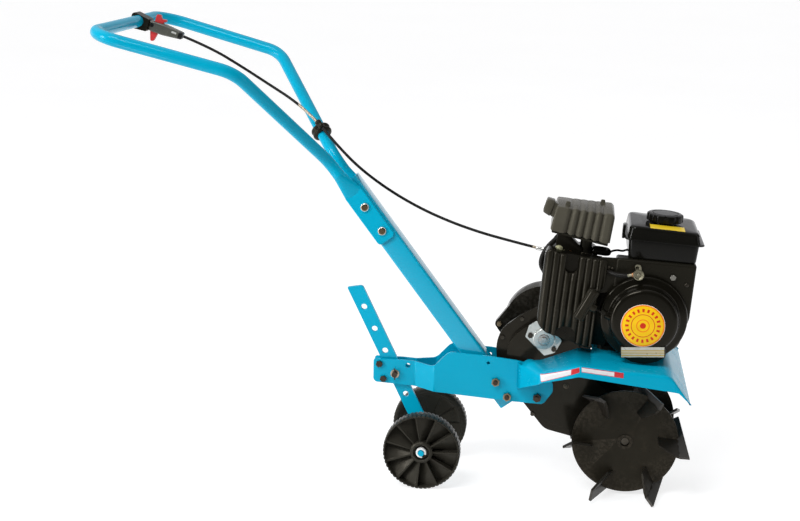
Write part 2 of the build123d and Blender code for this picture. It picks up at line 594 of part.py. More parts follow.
DRUM_XZ = CRANK_XZ
drum = vpulley(DRUM_XZ, DRUM_PULLEY_R, BELT_Y, 9.0, 7.2) + cyl(DRUM_XZ, 78, 97, 38.0)
drum -= cyl(DRUM_XZ, 70, 94, 35.0)
drum -= cyl(DRUM_XZ, 60, 130, 8.06)
put("clutch_drum", drum)
shoes = ring(DRUM_XZ, 80, 92, 13, 8.0)
put("clutch_shoes", shoes)
for q in (0, 180):
    s = ring(DRUM_XZ, 80, 92, 33.2, 14.0) & (Pos(DRUM_XZ[0], 86, DRUM_XZ[1]) * Rot(0, q, 0) * Pos(0, 0, 22) * Box(80, 14, 40))
    put("clutch_shoes", s)

bp = loop_prism(INPUT_XZ, PULLEY_R - 1.0, DRUM_XZ, DRUM_PULLEY_R - 1.0, BELT_Y - 20, BELT_Y + 20) - \
    loop_prism(INPUT_XZ, PULLEY_R - 9.0, DRUM_XZ, DRUM_PULLEY_R - 9.0, BELT_Y - 21, BELT_Y + 21)
wedge_path = Wire(two_circles(INPUT_XZ, PULLEY_R - 5.0, DRUM_XZ, DRUM_PULLEY_R - 5.0, lambda x, z: Vector(x, BELT_Y, z)))
st = wedge_path @ 0
tg = wedge_path % 0
out = Vector(st.X - INPUT_XZ[0], 0, st.Z - INPUT_XZ[1]).normalized()
pl = Plane(origin=st, x_dir=out, z_dir=tg)
sec = pl * make_face(Polyline((4, -6.2), (4, 6.2), (-4, 3.6), (-4, -3.6), close=True))
belt = sweep(sec, path=wedge_path)
put("drive_belt", belt)

EAR = (-284.0, 321.0)
EAR2 = (60.0, 420.0)
EAR3 = (-120.0, 239.0)


def cover_solid(y0, y1, grow=0.0):
    s = loop_prism(INPUT_XZ, COVER_R_IN + grow, CRANK_XZ, COVER_R_CRANK + grow, y0, y1)
    return s


back = cover_solid(COVER_Y0 - 2, COVER_Y0)
earback = loop_prism(EAR, 9.0, INPUT_XZ, COVER_R_IN - 1.0, COVER_Y0 - 2, COVER_Y0)
back += earback
back -= cyl(INPUT_XZ, 40, 90, 15.0)
back -= cyl(CRANK_XZ, 40, 90, 15.0)
back -= cyl(EAR, 40, 90, 3.1)
put("belt_backplate", back)
cov = cover_solid(COVER_Y0, COVER_Y1)
cov = soft(cov, cov.edges().group_by(Axis.Y)[-1], 10, 6)
cov -= cover_solid(COVER_Y0 - 5, COVER_Y1 - 2.2, -2.2)
earc = loop_prism(EAR, 9.0, INPUT_XZ, COVER_R_IN - 1.0, COVER_Y0, COVER_Y0 + 16) - cover_solid(0, 200, -1.0)
cov += earc
cov -= cyl(EAR, 40, 86, 3.0)
for k in range(9):
    aa = math.radians(40 * k)
    cov -= cyl((INPUT_XZ[0] + 52 * math.cos(aa), INPUT_XZ[1] + 52 * math.sin(aa)), COVER_Y1 - 8, COVER_Y1 + 4, 6)
put("belt_cover", cov)
put("frame_bolts", cyl(EAR, COVER_Y0 - 2, COVER_Y0 + 10, 3.0) + hexa(EAR, COVER_Y0 - 6.5, COVER_Y0 - 2, 10, 7))

# ---------------------------------------------------------------- engine: crankcase, cylinder, crankshaft
cc = box(-60, 66, -44, 58, -88, 50)
cc = soft(cc, cc.edges().filter_by(Axis.Y), 22, 16)
base = prism_z([(-80, -58, 10), (62, -58, 10), (62, 76, 10), (36, 76, 10), (36, 60, 8), (-80, 60, 10)], DECK_Z, -86)
cc += base
cc += cyl((CRANK[0], CRANK[1]), 56, 64, 24)
cc -= box(-52, 58, -36, 50, -80, 42)
cc -= cyl(CRANK, -80, 80, 12.05)
for ex, ey in ENGINE_FEET:
    cc -= Pos(ex, ey, DECK_Z) * Cylinder(4.2, 40)
bore = Pos(-56, 0, 14) * Rot(0, 90, 0) * Cylinder(31.0, 40)
cc -= bore
oil = along((50, 20, 46), (66, 20, 66), 11.0)
cc += oil
put("crankcase", ENG * cc)
for ex, ey in ENGINE_FEET:
    put("machine_screws", ENG * (Pos(ex, ey, -86 + 3) * extrude(RegularPolygon(7.5, 6), 3, both=True) + Pos(ex, ey, -94) * Cylinder(4.0, 28)))

ck = cyl(CRANK, -58, 66, 12.0) + cyl(CRANK, 66, 116, 8.0) + cyl(CRANK, -104, -58, 9.0)
ck -= cyl(CRANK, -14, 14, 14.0)
ck += cyl(CRANK, -26, -14, 36.0) + cyl(CRANK, 14, 26, 36.0) + cyl((CRANK[0] - 20, CRANK[1]), -15, 15, 10.0)
put("crankshaft", ENG * ck)

bar_cyl = Pos(-118, 0, 14) * Rot(0, 90, 0) * (Cylinder(38, 116) - Pos(0, 0, 8) * Cylinder(26, 116))
for k in range(8):
    x = -164 + 12.5 * k
    fin = prism_x([(-46, -26, 10), (46, -26, 10), (46, 58, 10), (-46, 58, 10)], x, x + 2.6)
    fin -= Pos(x, 0, 14) * Rot(0, 90, 0) * Cylinder(37, 20)
    bar_cyl += fin
head = prism_x([(-48, -26, 12), (48, -26, 12), (48, 60, 12), (-48, 60, 12)], -190, -172)
bar_cyl += head
bar_cyl += box(-152, -102, -60, -24, 50, 66)
bar_cyl += along((-187, -40, 41.24), (-194.96, -40, 46.97), 6.0)
bar_cyl -= Pos(-127, -44, 66) * Cylinder(11, 30)
put("cylinder", ENG * bar_cyl)

plug = along((-181, 48.1, 24), (-181, 60, 24), 8.0) + along((-181, 58, 24), (-186, 78, 28), 9.5)
plug = plug + along((-185.5, 76, 27.6), (-176, 84, 36), 6.0)
put("spark_plug", ENG * plug)

# flywheel with blower blades
fw = cyl(CRANK, -78, -62, 66.0) - cyl(CRANK, -90, -50, 9.0)
fw += ring(CRANK, -92, -78, 20, 9.0)
for k in range(12):
    aa = math.radians(30 * k)
    fw += Pos(CRANK[0], -85, CRANK[1]) * Rot(0, -30 * k, 0) * Pos(46, 0, 0) * Rot(0, 18, 0) * Box(34, 14.2, 3)
put("flywheel", ENG * fw)

# blower housing
FH = [(-64, 112, 5), (97, 113, 5), (95.5, 0, 30), (80, -62, 30), (30, -93.5, 40), (-24, -93.5, 40), (-72, -62, 40), (-88, -5, 40), (-66, 48, 20)]
fh = prism_y(FH, -95, -60)
fh = soft(fh, fh.edges().group_by(Axis.Y)[0], 6, 3)
fh -= inset_y(FH, 2.5, -92.5, -50)
fh -= cyl(CRANK, -110, -80, 73.0)
fh -= cyl((52, 84), -120, -50, 3.2)
fh -= cyl((81, 71), -97, -94.2, 2.6)
put("fan_housing", ENG * fh)
put("frame_bolts", ENG * (cyl((52, 84), -95, -86, 3.0) + hexa((52, 84), -99.5, -95, 11, 14)))

# recoil starter
rc = revolve_y([(0.01, -139), (60, -139, 4), (69, -134, 6), (71, -116, 4), (75, -112, 4), (88, -109, 8), (88.5, -95.2), (85.5, -95.2), (85.5, -106.5, 6),
                (74, -109.5, 4), (69, -113.5, 4), (66.5, -133, 5), (58, -136.5, 4), (0.01, -136.5)], CRANK)
GUIDE = (-72.0, -3.0)
PULL = (-0.9119, 0.4104)
rope_y = -121.0


def pull_pt(d):
    return (GUIDE[0] + PULL[0] * d, rope_y, GUIDE[1] + PULL[1] * d)


rc += along(pull_pt(-14), pull_pt(4), 7.0) - cyl(CRANK, -160, -80, 67.5)
rc += cyl(CRANK, -137, -108, 6.0)
rc -= along(pull_pt(-40), pull_pt(20), 2.6)
put("recoil_cover", ENG * rc)
rp = revolve_y([(6.06, -128), (36, -128), (36, -125), (31, -123.4), (31, -118.6), (36, -117), (36, -114), (6.06, -114)], CRANK)
put("recoil_pulley", ENG * rp)
gc = (-115.5, rope_y, 15.6)
gd = Vector(-PULL[1], 0, PULL[0])
ga = Vector(*gc) - gd * 35
gb = Vector(*gc) + gd * 35
grip = along(tuple(ga), tuple(gb), 10.5)
grip = soft(grip, grip.edges().filter_by(GeomType.CIRCLE), 6, 4)
grip += along(gc, pull_pt(26), 7.0)
grip -= along(pull_pt(0), pull_pt(46), 2.2)
put("starter_grip", ENG * grip)
put("starter_rope", ENG * along(pull_pt(-10), pull_pt(44), 2.0))

# ribbed cowl beside the cylinder
COWL = [(-212, -31, 10), (-209, 117, 14), (-82, 111, 6), (-83, 52, 4), (-94, 36, 6), (-94, -84, 8), (-149, -72, 6), (-191, -58, 12)]
cw = prism_y(COWL, -99, -64)
cw = soft(cw, cw.edges().group_by(Axis.Y)[0], 8, 5)
cw -= inset_y(COWL, 2.5, -96.5, -50)
ribs = None
for k in range(9):
    x = -199 + 13.3 * k
    rb = prism_z([(x - 4.4, -97, 0), (x - 2.6, -102.5, 1.5), (x + 2.6, -102.5, 1.5), (x + 4.4, -97, 0)], -90, 120)
    ribs = rb if ribs is None else ribs + rb
ribs = ribs & inset_y(COWL, 3.0, -110, -80)
cw += ribs
cw += (cyl((-154, 84), -97.5, -87, 15.5) + box(-169.5, -138.5, -97.5, -87, 84, 130)) & inset_y(COWL, 1.0, -99, -80)
cw -= cyl((-154, 84), -120, -90, 13) + box(-167, -141, -120, -90, 84, 130)
cw -= cyl((-149, -62), -120, -90, 21)
cw -= box(-100, -70, -97, -40, -100, 140)
put("cylinder_cowl", ENG * cw)

# carburettor and its cable bracket
cb = box(-150, -104, -62, -26, 66, 104)
cb = soft(cb, cb.edges().filter_by(Axis.Z), 8)
cb += Pos(-127, -44, 62) * Cylinder(17, 8) if False else Pos(-127, -44, 105) * Cylinder(15, 4)
cb += cyl((-127, 80), -64, -24, 12)
cb += box(-196, -148, -33, -28, 92, 105)
cb += box(-200, -196, -38, -22, 92, 105)
cb -= Pos(-198, -30, 98.5) * Rot(0, 90, 0) * Cylinder(3.2, 20)
put("carburettor", ENG * cb)

# air cleaner: tray, elbow and ribbed cover with its inlet spout
AC = [(-204, 153.5, 5), (-197, 204, 7), (-86, 200.5, 7), (-77, 190, 6), (-81, 135, 5)]
ac = prism_y(AC, -85, 18)
ac = soft(ac, ac.edges().group_by(Axis.Y)[0] + ac.edges().group_by(Axis.Y)[-1], 7, 4)
ac -= inset_y([(-204, 130, 0), (-197, 204, 7), (-86, 200.5, 7), (-77, 190, 6), (-81, 100, 0)], 2.5, -82.5, 15.5)
ac_ribs = None
for x in (-166.6, -150, -134.4, -118.4, -102.3):
    g = prism_z([(x - 2.2, -90, 0), (x + 2.2, -90, 0), (x + 1.2, -83.4, 0.6), (x - 1.2, -83.4, 0.6)], 120, 205)
    ac -= Rot(0, 0, 0) * g
spout = prism_y([(-226, 192, 3), (-214, 215, 3), (-190, 209, 0), (-198, 176, 0)], -70, -36)
spout = soft(spout, spout.edges().filter_by(GeomType.LINE).filter_by(lambda e: abs(e.center().Y + 53) > 10), 4, 2)
spout -= prism_y([(-230, 194, 0), (-216, 219, 0), (-180, 207, 0), (-190, 178, 0)], -67, -39)
spout -= inset_y(AC, 1.0, -100, 0)
ac += spout
put("air_cleaner_cover", ENG * ac)
TRAY = [(-200.9, 148.6, 2), (-200.5, 152.7, 0), (-84.4, 135.2, 0), (-84.8, 131.1, 2)]
ab = prism_y(TRAY, -82, 14)
ab += along((-127, -44, 107), (-127, -44, 142), 12.5)
ab -= along((-127, -44, 100), (-127, -44, 150), 9.5)
ab += along((-172.5, -44, 148.087), (-177.46, -44, 142.05), 6.5) & prism_y([(-260, 157, 0), (-84, 133, 0), (-84, 60, 0), (-260, 60, 0)], -90, 0)
put("air_cleaner_base", ENG * ab)

# breather hose from the cylinder head to the air cleaner tray
HOSE_B = [(-177.5, -44, 142), (-189, -44, 128), (-203.5, -43.5, 111), (-213, -42.5, 92), (-216, -41.0, 72), (-208.8, -40, 57), (-195, -40, 47)]


def cord(points, r):
    v = [Vector(*p) for p in points]
    rad = []
    for i in range(1, len(v) - 1):
        d1, d2 = v[i] - v[i - 1], v[i + 1] - v[i]
        turn = math.radians(d1.get_angle(d2))
        rad.append(0.45 * min(d1.length, d2.length) / math.tan(turn / 2))
    pth = FilletPolyline(*v, radius=rad)
    s = sweep(Plane(origin=pth @ 0, z_dir=pth % 0) * Circle(r), path=pth)
    print("cord length %.1f radii %s volume ratio %.4f" % (pth.length, ["%.0f" % q for q in rad], s.volume / (math.pi * r * r * pth.length)))
    return s


put("breather_hose", ENG * cord(HOSE_B, 5.5))

# muffler on top of the cylinder, away from the carburettor
mf = box(-204, -100, -12, 62, 64, 104)
mf = soft(mf, mf.edges().filter_by(Axis.Y), 14)
mf = soft(mf, mf.edges().group_by(Axis.Y)[0] + mf.edges().group_by(Axis.Y)[-1], 5, 3)
mf += box(-170, -130, 6, 46, 60, 66)
mf += along((-150, 58, 84), (-150, 68, 84), 9)
mf -= along((-150, 56, 84), (-150, 80, 84), 6.5)
put("muffler", ENG * mf)

# fuel tank with its seam flange, neck and cap
def tank_ring(x0, x1, y0, y1, r, za, zb):
    """Rounded rectangle on a plane that goes from height za at x = -54 to zb at x = 106."""
    return face_of(corner_edges([(x0, y0, r), (x1, y0, r), (x1, y1, r), (x0, y1, r)],
                                lambda u, v: Vector(u, v, za + (zb - za) * (u + 54) / 160)))


tk = prism_y([(-39.5, 113.9, 8), (-44, 152, 0), (98, 152, 0), (95, 113.9, 8)], -87, 62)
tk += loft([tank_ring(-46, 100, -89, 66, 12, 151.5, 151.5), tank_ring(-44.5, 97, -87.5, 64.5, 13, 173, 168.5)], ruled=True)
tk += loft([tank_ring(-44.5, 97, -87.5, 64.5, 13, 173, 168.5), tank_ring(-40, 84, -82, 58, 12, 181.3, 176.2)], ruled=True)
fl2 = prism_z([(-52, -91.5, 10), (108, -91.5, 10), (108, 72, 10), (-52, 72, 10)], 151, 153.5)
tk += fl2
tk += box(-57, -51.5, -62, -34, 151, 174)
CAP = (27.5, -17.0)
tk += Pos(CAP[0], CAP[1], 182) * Cylinder(21, 14)
hollow = prism_y([(-36, 117, 6), (-38, 173, 8), (80, 169, 8), (90, 160, 8), (90, 117, 6)], -79, 54)
tk -= hollow
tk -= Pos(CAP[0], CAP[1], 180) * Cylinder(18, 40)
put("fuel_tank", ENG * tk)
cap = Pos(CAP[0], CAP[1], 192) * Cylinder(37.5, 17)
cap = soft(cap, cap.edges().group_by(Axis.Z)[-1], 4, 2)
cap -= Pos(CAP[0], CAP[1], 187) * Cylinder(21.6, 15)
for k in range(18):
    aa = math.radians(20 * k)
    cap -= Pos(CAP[0] + 39 * math.cos(aa), CAP[1] + 39 * math.sin(aa), 192) * Cylinder(3.2, 30)
put("fuel_cap", ENG * cap)

# bracket that carries the tank above the crankcase
tb = box(-34, 60, -40, 52, 110.5, 113.8)
tb += box(-34, -31, -40, 52, 50, 112) + box(27, 30, -40, 52, 50, 112)
put("tank_bracket", ENG * tb)

# fuel cock, its lever, and the hose to the carburettor
COCK = (-18.5, 88.0)
fcb = cyl(COCK, -118, -110.5, 8.8) + along((COCK[0], -95.05, 93.0), (COCK[0], -114, 93.0), 4.5)
fcb += along((-24, -114, 86.5), (-40, -114, 82.0), 3.4)
put("fuel_cock", ENG * fcb)
lv = cyl(COCK, -124, -118.4, 9.0)
lv += prism_y([(COCK[0] - 5.5, COCK[1], 0), (COCK[0] + 5.5, COCK[1], 0), (COCK[0] + 2.5, COCK[1] + 21, 6), (COCK[0] - 11.5, COCK[1] + 21, 6)], -123, -119)
lv -= cyl((COCK[0] - 4.3, COCK[1] + 14), -140, -100, 3.6)
put("fuel_cock_lever", ENG * lv)
HOSE_F = [(-40.2, -114, 82.0), (-52, -113, 80.6), (-64, -108.5, 81.2), (-74, -100.5, 82.3), (-81, -89, 82.4), (-88, -77.5, 80.8), (-98, -68.5, 78.5)]
put("fuel_hose", ENG * cord(HOSE_F, 4.0))

# ---------------------------------------------------------------- control lever on the crossbar
CT = Pos(HANDLE_CORNER[0], CTRL_Y, HANDLE_CORNER[2]) * Rot(0, CTRL_ANG, 0)


def ctrl_xz(x, z):
    c, s = math.cos(math.radians(CTRL_ANG)), math.sin(math.radians(CTRL_ANG))
    return (HANDLE_CORNER[0] + c * x + s * z, HANDLE_CORNER[2] - s * x + c * z)


cl = prism_y([(-15.85, -19, 7), (24, -15, 3), (24, 11, 3), (-15.85, 17, 7)], -18, 18) - cyl((0, 0), -30, 30, TUBE_R)
put("control_clamp", CT * cl)
bd = prism_y([(24, 9, 0), (58, 11, 10), (100, 7, 4), (100, -8, 4), (56, -13, 10), (24, -12, 0)], -10, 10)
bd = soft(bd, bd.edges().group_by(Axis.Y)[0] + bd.edges().group_by(Axis.Y)[-1], 3.5, 2)
bd -= box(26, 47, -4.4, 4.4, -30, -1.4)
bd -= box(30, 54, -5.4, 5.4, 2, 30)
bd -= Pos(98, 0, -1.5) * Rot(0, 90, 0) * Cylinder(3.05, 12)
bd += cyl((36, -7), -9, 9, 2.5)
bd += cyl((42, 6), -9, 9, 2.0)
put("control_body", CT * bd)
tr = prism_y([(29.5, -7, 0), (42.5, -7, 0), (46, -13, 3), (42, -31, 4), (35, -34, 4), (28.5, -13, 3)], -4.0, 4.0) + cyl((36, -7), -4.0, 4.0, 5.0)
tr -= cyl((36, -7), -20, 20, 2.56)
put("throttle_trigger", CT * tr)
sw = prism_y([(33, 9, 1), (42, 3.2, 3), (51, 10, 1), (52, 14, 1), (57, 16, 1), (57, 21, 2.5), (45, 19, 4), (42, 27, 3), (33, 26, 3)], -5.0, 5.0)
sw -= cyl((42, 6), -20, 20, 2.06)
put("stop_switch", CT * sw)

# throttle cable along the handle and through the air to the carburettor bracket
CABLE = [(-974.0, 90.0, 935.5), (-914.6, 91.0, 911.3), (-850.4, 92.0, 873.4), (-791.1, 92.0, 835.8), (-731.0, 80.0, 801.0), (-681.2, 62.0, 762.0),
         (-631.2, 40.0, 710.7), (-583.2, 26.0, 666.8), (-518.7, 18.0, 622.0), (-449.8, 10.0, 585.4), (-383.0, -2.0, 560.0), (-319.0, -13.0, 541.5),
         (-256.0, -21.5, 527.5), (-206.0, -27.5, 517.0), (-178.0, -30.0, 511.3)]
put("throttle_cable", cord(CABLE, 3.0))
t0 = Vector(*on_mast(HANDLE_KNEE_T, HY, FLAT_N))
tubedir = Vector(*hb) - t0
cab_dir = Vector(*CABLE[6]) - Vector(*CABLE[5])
cq = Vector(*CABLE[5]) + cab_dir * 0.14
c0 = t0 + tubedir * ((cq - t0).dot(tubedir) / tubedir.dot(tubedir))
pl = Plane(origin=c0 - tubedir.normalized() * 6, z_dir=tubedir)
band = extrude(pl * Circle(20.0), amount=12)
pl2 = Plane(origin=cq - cab_dir.normalized() * 6, z_dir=cab_dir)
band += extrude(pl2 * Circle(7.0), amount=12) + along(tuple(c0), tuple(cq), 5.0)
band -= Plane(origin=c0 - tubedir.normalized() * 40, z_dir=tubedir) * Cylinder(TUBE_R, 200)
band -= Plane(origin=cq, z_dir=cab_dir) * Cylinder(3.3, 60)
band = max(band.solids(), key=lambda q: q.volume)
put("cable_clip", band)

# ---------------------------------------------------------------- write the pieces
for name, solids in NODES.items():
    moved = [Pos(SHIFT_X, 0, 0) * s for s in solids]
    shape = moved[0] if len(moved) == 1 else Compound(children=moved)
    export_step(shape, f"parts/{name}.step")
bb = Compound(children=[Pos(SHIFT_X, 0, 0) * s for q in NODES.values() for s in q]).bounding_box()
print("nodes", len(NODES), "box", [round(v, 2) for v in (bb.min.X, bb.max.X, bb.min.Y, bb.max.Y, bb.min.Z, bb.max.Z)])
print("crank", [round(v / 1000, 5) for v in (CRANK_XZ[0] + SHIFT_X, CRANK_XZ[1])], "pin", PIN_XZ)
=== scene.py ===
import bpy
import bmesh
import math
import numpy as np
from mathutils import Matrix, Vector


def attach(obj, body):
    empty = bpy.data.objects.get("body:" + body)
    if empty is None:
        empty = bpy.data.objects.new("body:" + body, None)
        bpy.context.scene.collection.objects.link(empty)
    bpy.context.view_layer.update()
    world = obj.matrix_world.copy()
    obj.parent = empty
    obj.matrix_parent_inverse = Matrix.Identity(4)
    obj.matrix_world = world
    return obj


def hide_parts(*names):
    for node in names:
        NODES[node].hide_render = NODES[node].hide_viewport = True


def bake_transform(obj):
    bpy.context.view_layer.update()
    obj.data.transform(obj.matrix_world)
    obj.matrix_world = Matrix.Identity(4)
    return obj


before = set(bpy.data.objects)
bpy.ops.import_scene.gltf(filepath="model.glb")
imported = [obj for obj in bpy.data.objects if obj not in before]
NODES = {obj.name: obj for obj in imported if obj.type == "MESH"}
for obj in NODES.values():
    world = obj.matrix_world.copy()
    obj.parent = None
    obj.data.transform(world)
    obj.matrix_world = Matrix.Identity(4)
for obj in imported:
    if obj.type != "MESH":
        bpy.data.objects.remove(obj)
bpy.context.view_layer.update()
scene = bpy.context.scene
SHIFT = 0.47715          # layout X to row X, metres

# ------------------------------------------------------------------ camera
YAW, PITCH = math.radians(6.825), math.radians(13.458)
d = Vector((-math.sin(YAW) * math.cos(PITCH), math.cos(YAW) * math.cos(PITCH), -math.sin(PITCH)))
r = Vector((math.cos(YAW), math.sin(YAW), 0.0))
u = r.cross(d)
cam_data = bpy.data.cameras.new("camera")
cam_data.sensor_fit = "HORIZONTAL"
cam_data.sensor_width = 36.0
cam_data.lens = 65.25
cam_data.clip_end = 120.0
cam = bpy.data.objects.new("camera", cam_data)
scene.collection.objects.link(cam)
m = Matrix.Identity(4)
for i in range(3):
    m[i][0], m[i][1], m[i][2] = r[i], u[i], -d[i]
m[0][3], m[1][3], m[2][3] = -0.1368 + SHIFT, -2.9846, 1.1935
cam.matrix_world = m
scene.camera = cam


# ------------------------------------------------------------------ small helpers
def L(x, y, z):
    """Layout millimetres to row metres."""
    return Vector((x / 1000.0 + SHIFT, y / 1000.0, z / 1000.0))


ENG = Matrix.Translation(L(15, 0, 398)) @ Matrix.Rotation(math.radians(4.5), 4, "Y")


def E(x, y, z):
    """Engine millimetres to row metres."""
    return ENG @ Vector((x / 1000.0, y / 1000.0, z / 1000.0))


CTL = Matrix.Translation(L(-1070, 90, 969)) @ Matrix.Rotation(math.radians(18.9), 4, "Y")


def C(x, y, z):
    """Control lever millimetres to row metres."""
    return CTL @ Vector((x / 1000.0, y / 1000.0, z / 1000.0))


MAST_A = math.radians(53.8)
MDX, MDZ = math.cos(MAST_A), -math.sin(MAST_A)


def on_mast(t, y=0.0, n=0.0):
    return (-432.1 - MDX * t - MDZ * n, y, 412.5 - MDZ * t + MDX * n)


def link(name, data):
    o = bpy.data.objects.new(name, data)
    scene.collection.objects.link(o)
    return o


def from_bm(name, bm, smooth_deg=35.0, recalc=True):
    if recalc:
        bmesh.ops.recalc_face_normals(bm, faces=bm.faces)
    me = bpy.data.meshes.new(name)
    bm.to_mesh(me)
    bm.free()
    for p in me.polygons:
        p.use_smooth = True
    me.set_sharp_from_angle(angle=math.radians(smooth_deg))
    return link(name, me)


def loft(bm, rings, closed=True, cap0=True, cap1=True):
    """Skin a list of equal rings of points with quads."""
    vs = [[bm.verts.new(p) for p in rg] for rg in rings]
    n = len(vs[0])
    for a, b in zip(vs, vs[1:]):
        for i in range(n if closed else n - 1):
            j = (i + 1) % n
            bm.faces.new((a[i], a[j], b[j], b[i]))
    if cap0:
        bm.faces.new(list(reversed(vs[0])))
    if cap1:
        bm.faces.new(vs[-1])
    return vs


def rounded(pts, n=6, closed=True):
    """Polyline with rounded corners; pts are (u, v, r)."""
    out = []
    k = len(pts)
    for i in range(k):
        px, py = pts[i][0], pts[i][1]
        rr = pts[i][2] if len(pts[i]) > 2 else 0.0
        if (not closed and i in (0, k - 1)) or rr <= 0:
            out.append((px, py))
            continue
        ax, ay = pts[i - 1][0] - px, pts[i - 1][1] - py
        bx, by = pts[(i + 1) % k][0] - px, pts[(i + 1) % k][1] - py
        la, lb = math.hypot(ax, ay), math.hypot(bx, by)
        ax, ay, bx, by = ax / la, ay / la, bx / lb, by / lb
        inner = math.acos(max(-1, min(1, ax * bx + ay * by)))
        if inner > math.radians(179):
            out.append((px, py))
            continue
        dd = min(rr / math.tan(inner / 2), 0.48 * la, 0.48 * lb)
        rr = dd * math.tan(inner / 2)
        cx, cy = ax + bx, ay + by
        lc = math.hypot(cx, cy)
        h = rr / math.sin(inner / 2)
        ox, oy = px + cx / lc * h, py + cy / lc * h
        a0 = math.atan2(py + ay * dd - oy, px + ax * dd - ox)
        a1 = math.atan2(py + by * dd - oy, px + bx * dd - ox)
        da = (a1 - a0 + math.pi) % (2 * math.pi) - math.pi
        for q in range(n + 1):
            aa = a0 + da * q / n
            out.append((ox + rr * math.cos(aa), oy + rr * math.sin(aa)))
    return out


def frame_at(p, axis):
    """Two directions across an axis."""
    z = Vector(axis).normalized()
    x = z.orthogonal().normalized()
    return x, z.cross(x), z


def turned(bm, base, axis, prof, seg=40, close=True):
    """Turned shape: prof is a list of (radius, height) along axis from base, metres."""
    x, y, z = frame_at(base, axis)
    b = Vector(base)
    rings = [[b + z * h + (x * math.cos(2 * math.pi * i / seg) + y * math.sin(2 * math.pi * i / seg)) * max(rad, 1e-5) for i in range(seg)] for rad, h in prof]
    return loft(bm, rings, True, close, close)


def tube(bm, pts, rad, seg=16, caps=True):
    """Tube through points, with steady cross directions."""
    P = [Vector(p) for p in pts]
    tg = [(P[min(i + 1, len(P) - 1)] - P[max(i - 1, 0)]).normalized() for i in range(len(P))]
    x = tg[0].orthogonal().normalized()
    rings = []
    for i, p in enumerate(P):
        x = (x - tg[i] * x.dot(tg[i])).normalized()
        y = tg[i].cross(x)
        rr = rad(i / (len(P) - 1)) if callable(rad) else rad
        rings.append([p + (x * math.cos(2 * math.pi * k / seg) + y * math.sin(2 * math.pi * k / seg)) * rr for k in range(seg)])
    return loft(bm, rings, True, caps, caps)


def nurbs(name, pts, bevel):
    cu = bpy.data.curves.new(name, "CURVE")
    cu.dimensions = "3D"
    sp = cu.splines.new("NURBS")
    sp.points.add(len(pts) - 1)
    for q, p in zip(sp.points, pts):
        q.co = (*p, 1.0)
        q.radius = max(bevel, 0.001)
    sp.order_u = 3
    sp.use_endpoint_u = True
    cu.resolution_u = 16
    cu.bevel_depth = 1.0 if bevel > 0 else 0.0
    cu.bevel_resolution = 6
    cu.use_fill_caps = True
    return link(name, cu)


def spline_points(pts):
    """Points read from the smooth spline of a route."""
    o = nurbs("route", pts, 0.0)
    me = bpy.data.meshes.new_from_object(o)
    out = [v.co.copy() for v in me.vertices]
    bpy.data.meshes.remove(me)
    cu = o.data
    bpy.data.objects.remove(o)
    bpy.data.curves.remove(cu)
    return out


# ------------------------------------------------------------------ throttle cable
CABLE = [(-974.0, 90.0, 935.5), (-914.6, 91.0, 911.3), (-850.4, 92.0, 873.4), (-791.1, 92.0, 835.8), (-731.0, 80.0, 801.0), (-681.2, 62.0, 762.0),
         (-631.2, 40.0, 710.7), (-583.2, 26.0, 666.8), (-518.7, 18.0, 622.0), (-449.8, 10.0, 585.4), (-383.0, -2.0, 560.0), (-319.0, -13.0, 541.5),
         (-256.0, -21.5, 527.5), (-206.0, -27.5, 517.0), (-178.0, -30.0, 511.3)]
cable = nurbs("throttle_cable_sheath", [L(*p) for p in CABLE], 0.003)
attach(cable, "chassis")
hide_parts("throttle_cable")


# ------------------------------------------------------------------ materials
def new_mat(name):
    mt = bpy.data.materials.new(name)
    mt.use_nodes = True
    nt = mt.node_tree
    nt.nodes.clear()
    out = nt.nodes.new("ShaderNodeOutputMaterial")
    bs = nt.nodes.new("ShaderNodeBsdfPrincipled")
    nt.links.new(bs.outputs[0], out.inputs[0])
    return mt, nt, bs


def coords(nt):
    return nt.nodes.new("ShaderNodeTexCoord").outputs["Object"]


def noise(nt, scale, detail=3.0, rough=0.5, stretch=None):
    n = nt.nodes.new("ShaderNodeTexNoise")
    n.inputs["Scale"].default_value = scale
    n.inputs["Detail"].default_value = detail
    n.inputs["Roughness"].default_value = rough
    if stretch:
        mp = nt.nodes.new("ShaderNodeMapping")
        mp.inputs["Scale"].default_value = stretch
        nt.links.new(coords(nt), mp.inputs["Vector"])
        nt.links.new(mp.outputs[0], n.inputs["Vector"])
    else:
        nt.links.new(coords(nt), n.inputs["Vector"])
    return n.outputs["Fac"]


def ramp(nt, fac, stops):
    cr = nt.nodes.new("ShaderNodeValToRGB")
    el = cr.color_ramp.elements
    while len(el) < len(stops):
        el.new(0.5)
    for e, (p, c) in zip(el, stops):
        e.position = p
        e.color = (*c, 1.0) if len(c) == 3 else c
    nt.links.new(fac, cr.inputs[0])
    return cr.outputs[0]


def maprange(nt, v, a0, a1, b0, b1):
    mr = nt.nodes.new("ShaderNodeMapRange")
    mr.inputs[1].default_value, mr.inputs[2].default_value = a0, a1
    mr.inputs[3].default_value, mr.inputs[4].default_value = b0, b1
    nt.links.new(v, mr.inputs[0])
    return mr.outputs[0]


def math_node(nt, op, a, b=None):
    n = nt.nodes.new("ShaderNodeMath")
    n.operation = op
    for s, v in ((n.inputs[0], a), (n.inputs[1], b)):
        if v is None:
            continue
        if isinstance(v, (int, float)):
            s.default_value = v
        else:
            nt.links.new(v, s)
    return n.outputs[0]


def mix(nt, fac, a, b):
    mx = nt.nodes.new("ShaderNodeMix")
    mx.data_type = "RGBA"
    nt.links.new(fac, mx.inputs[0])
    for sock, v in ((mx.inputs[6], a), (mx.inputs[7], b)):
        if isinstance(v, (tuple, list)):
            sock.default_value = (*v, 1.0)
        else:
            nt.links.new(v, sock)
    return mx.outputs[2]


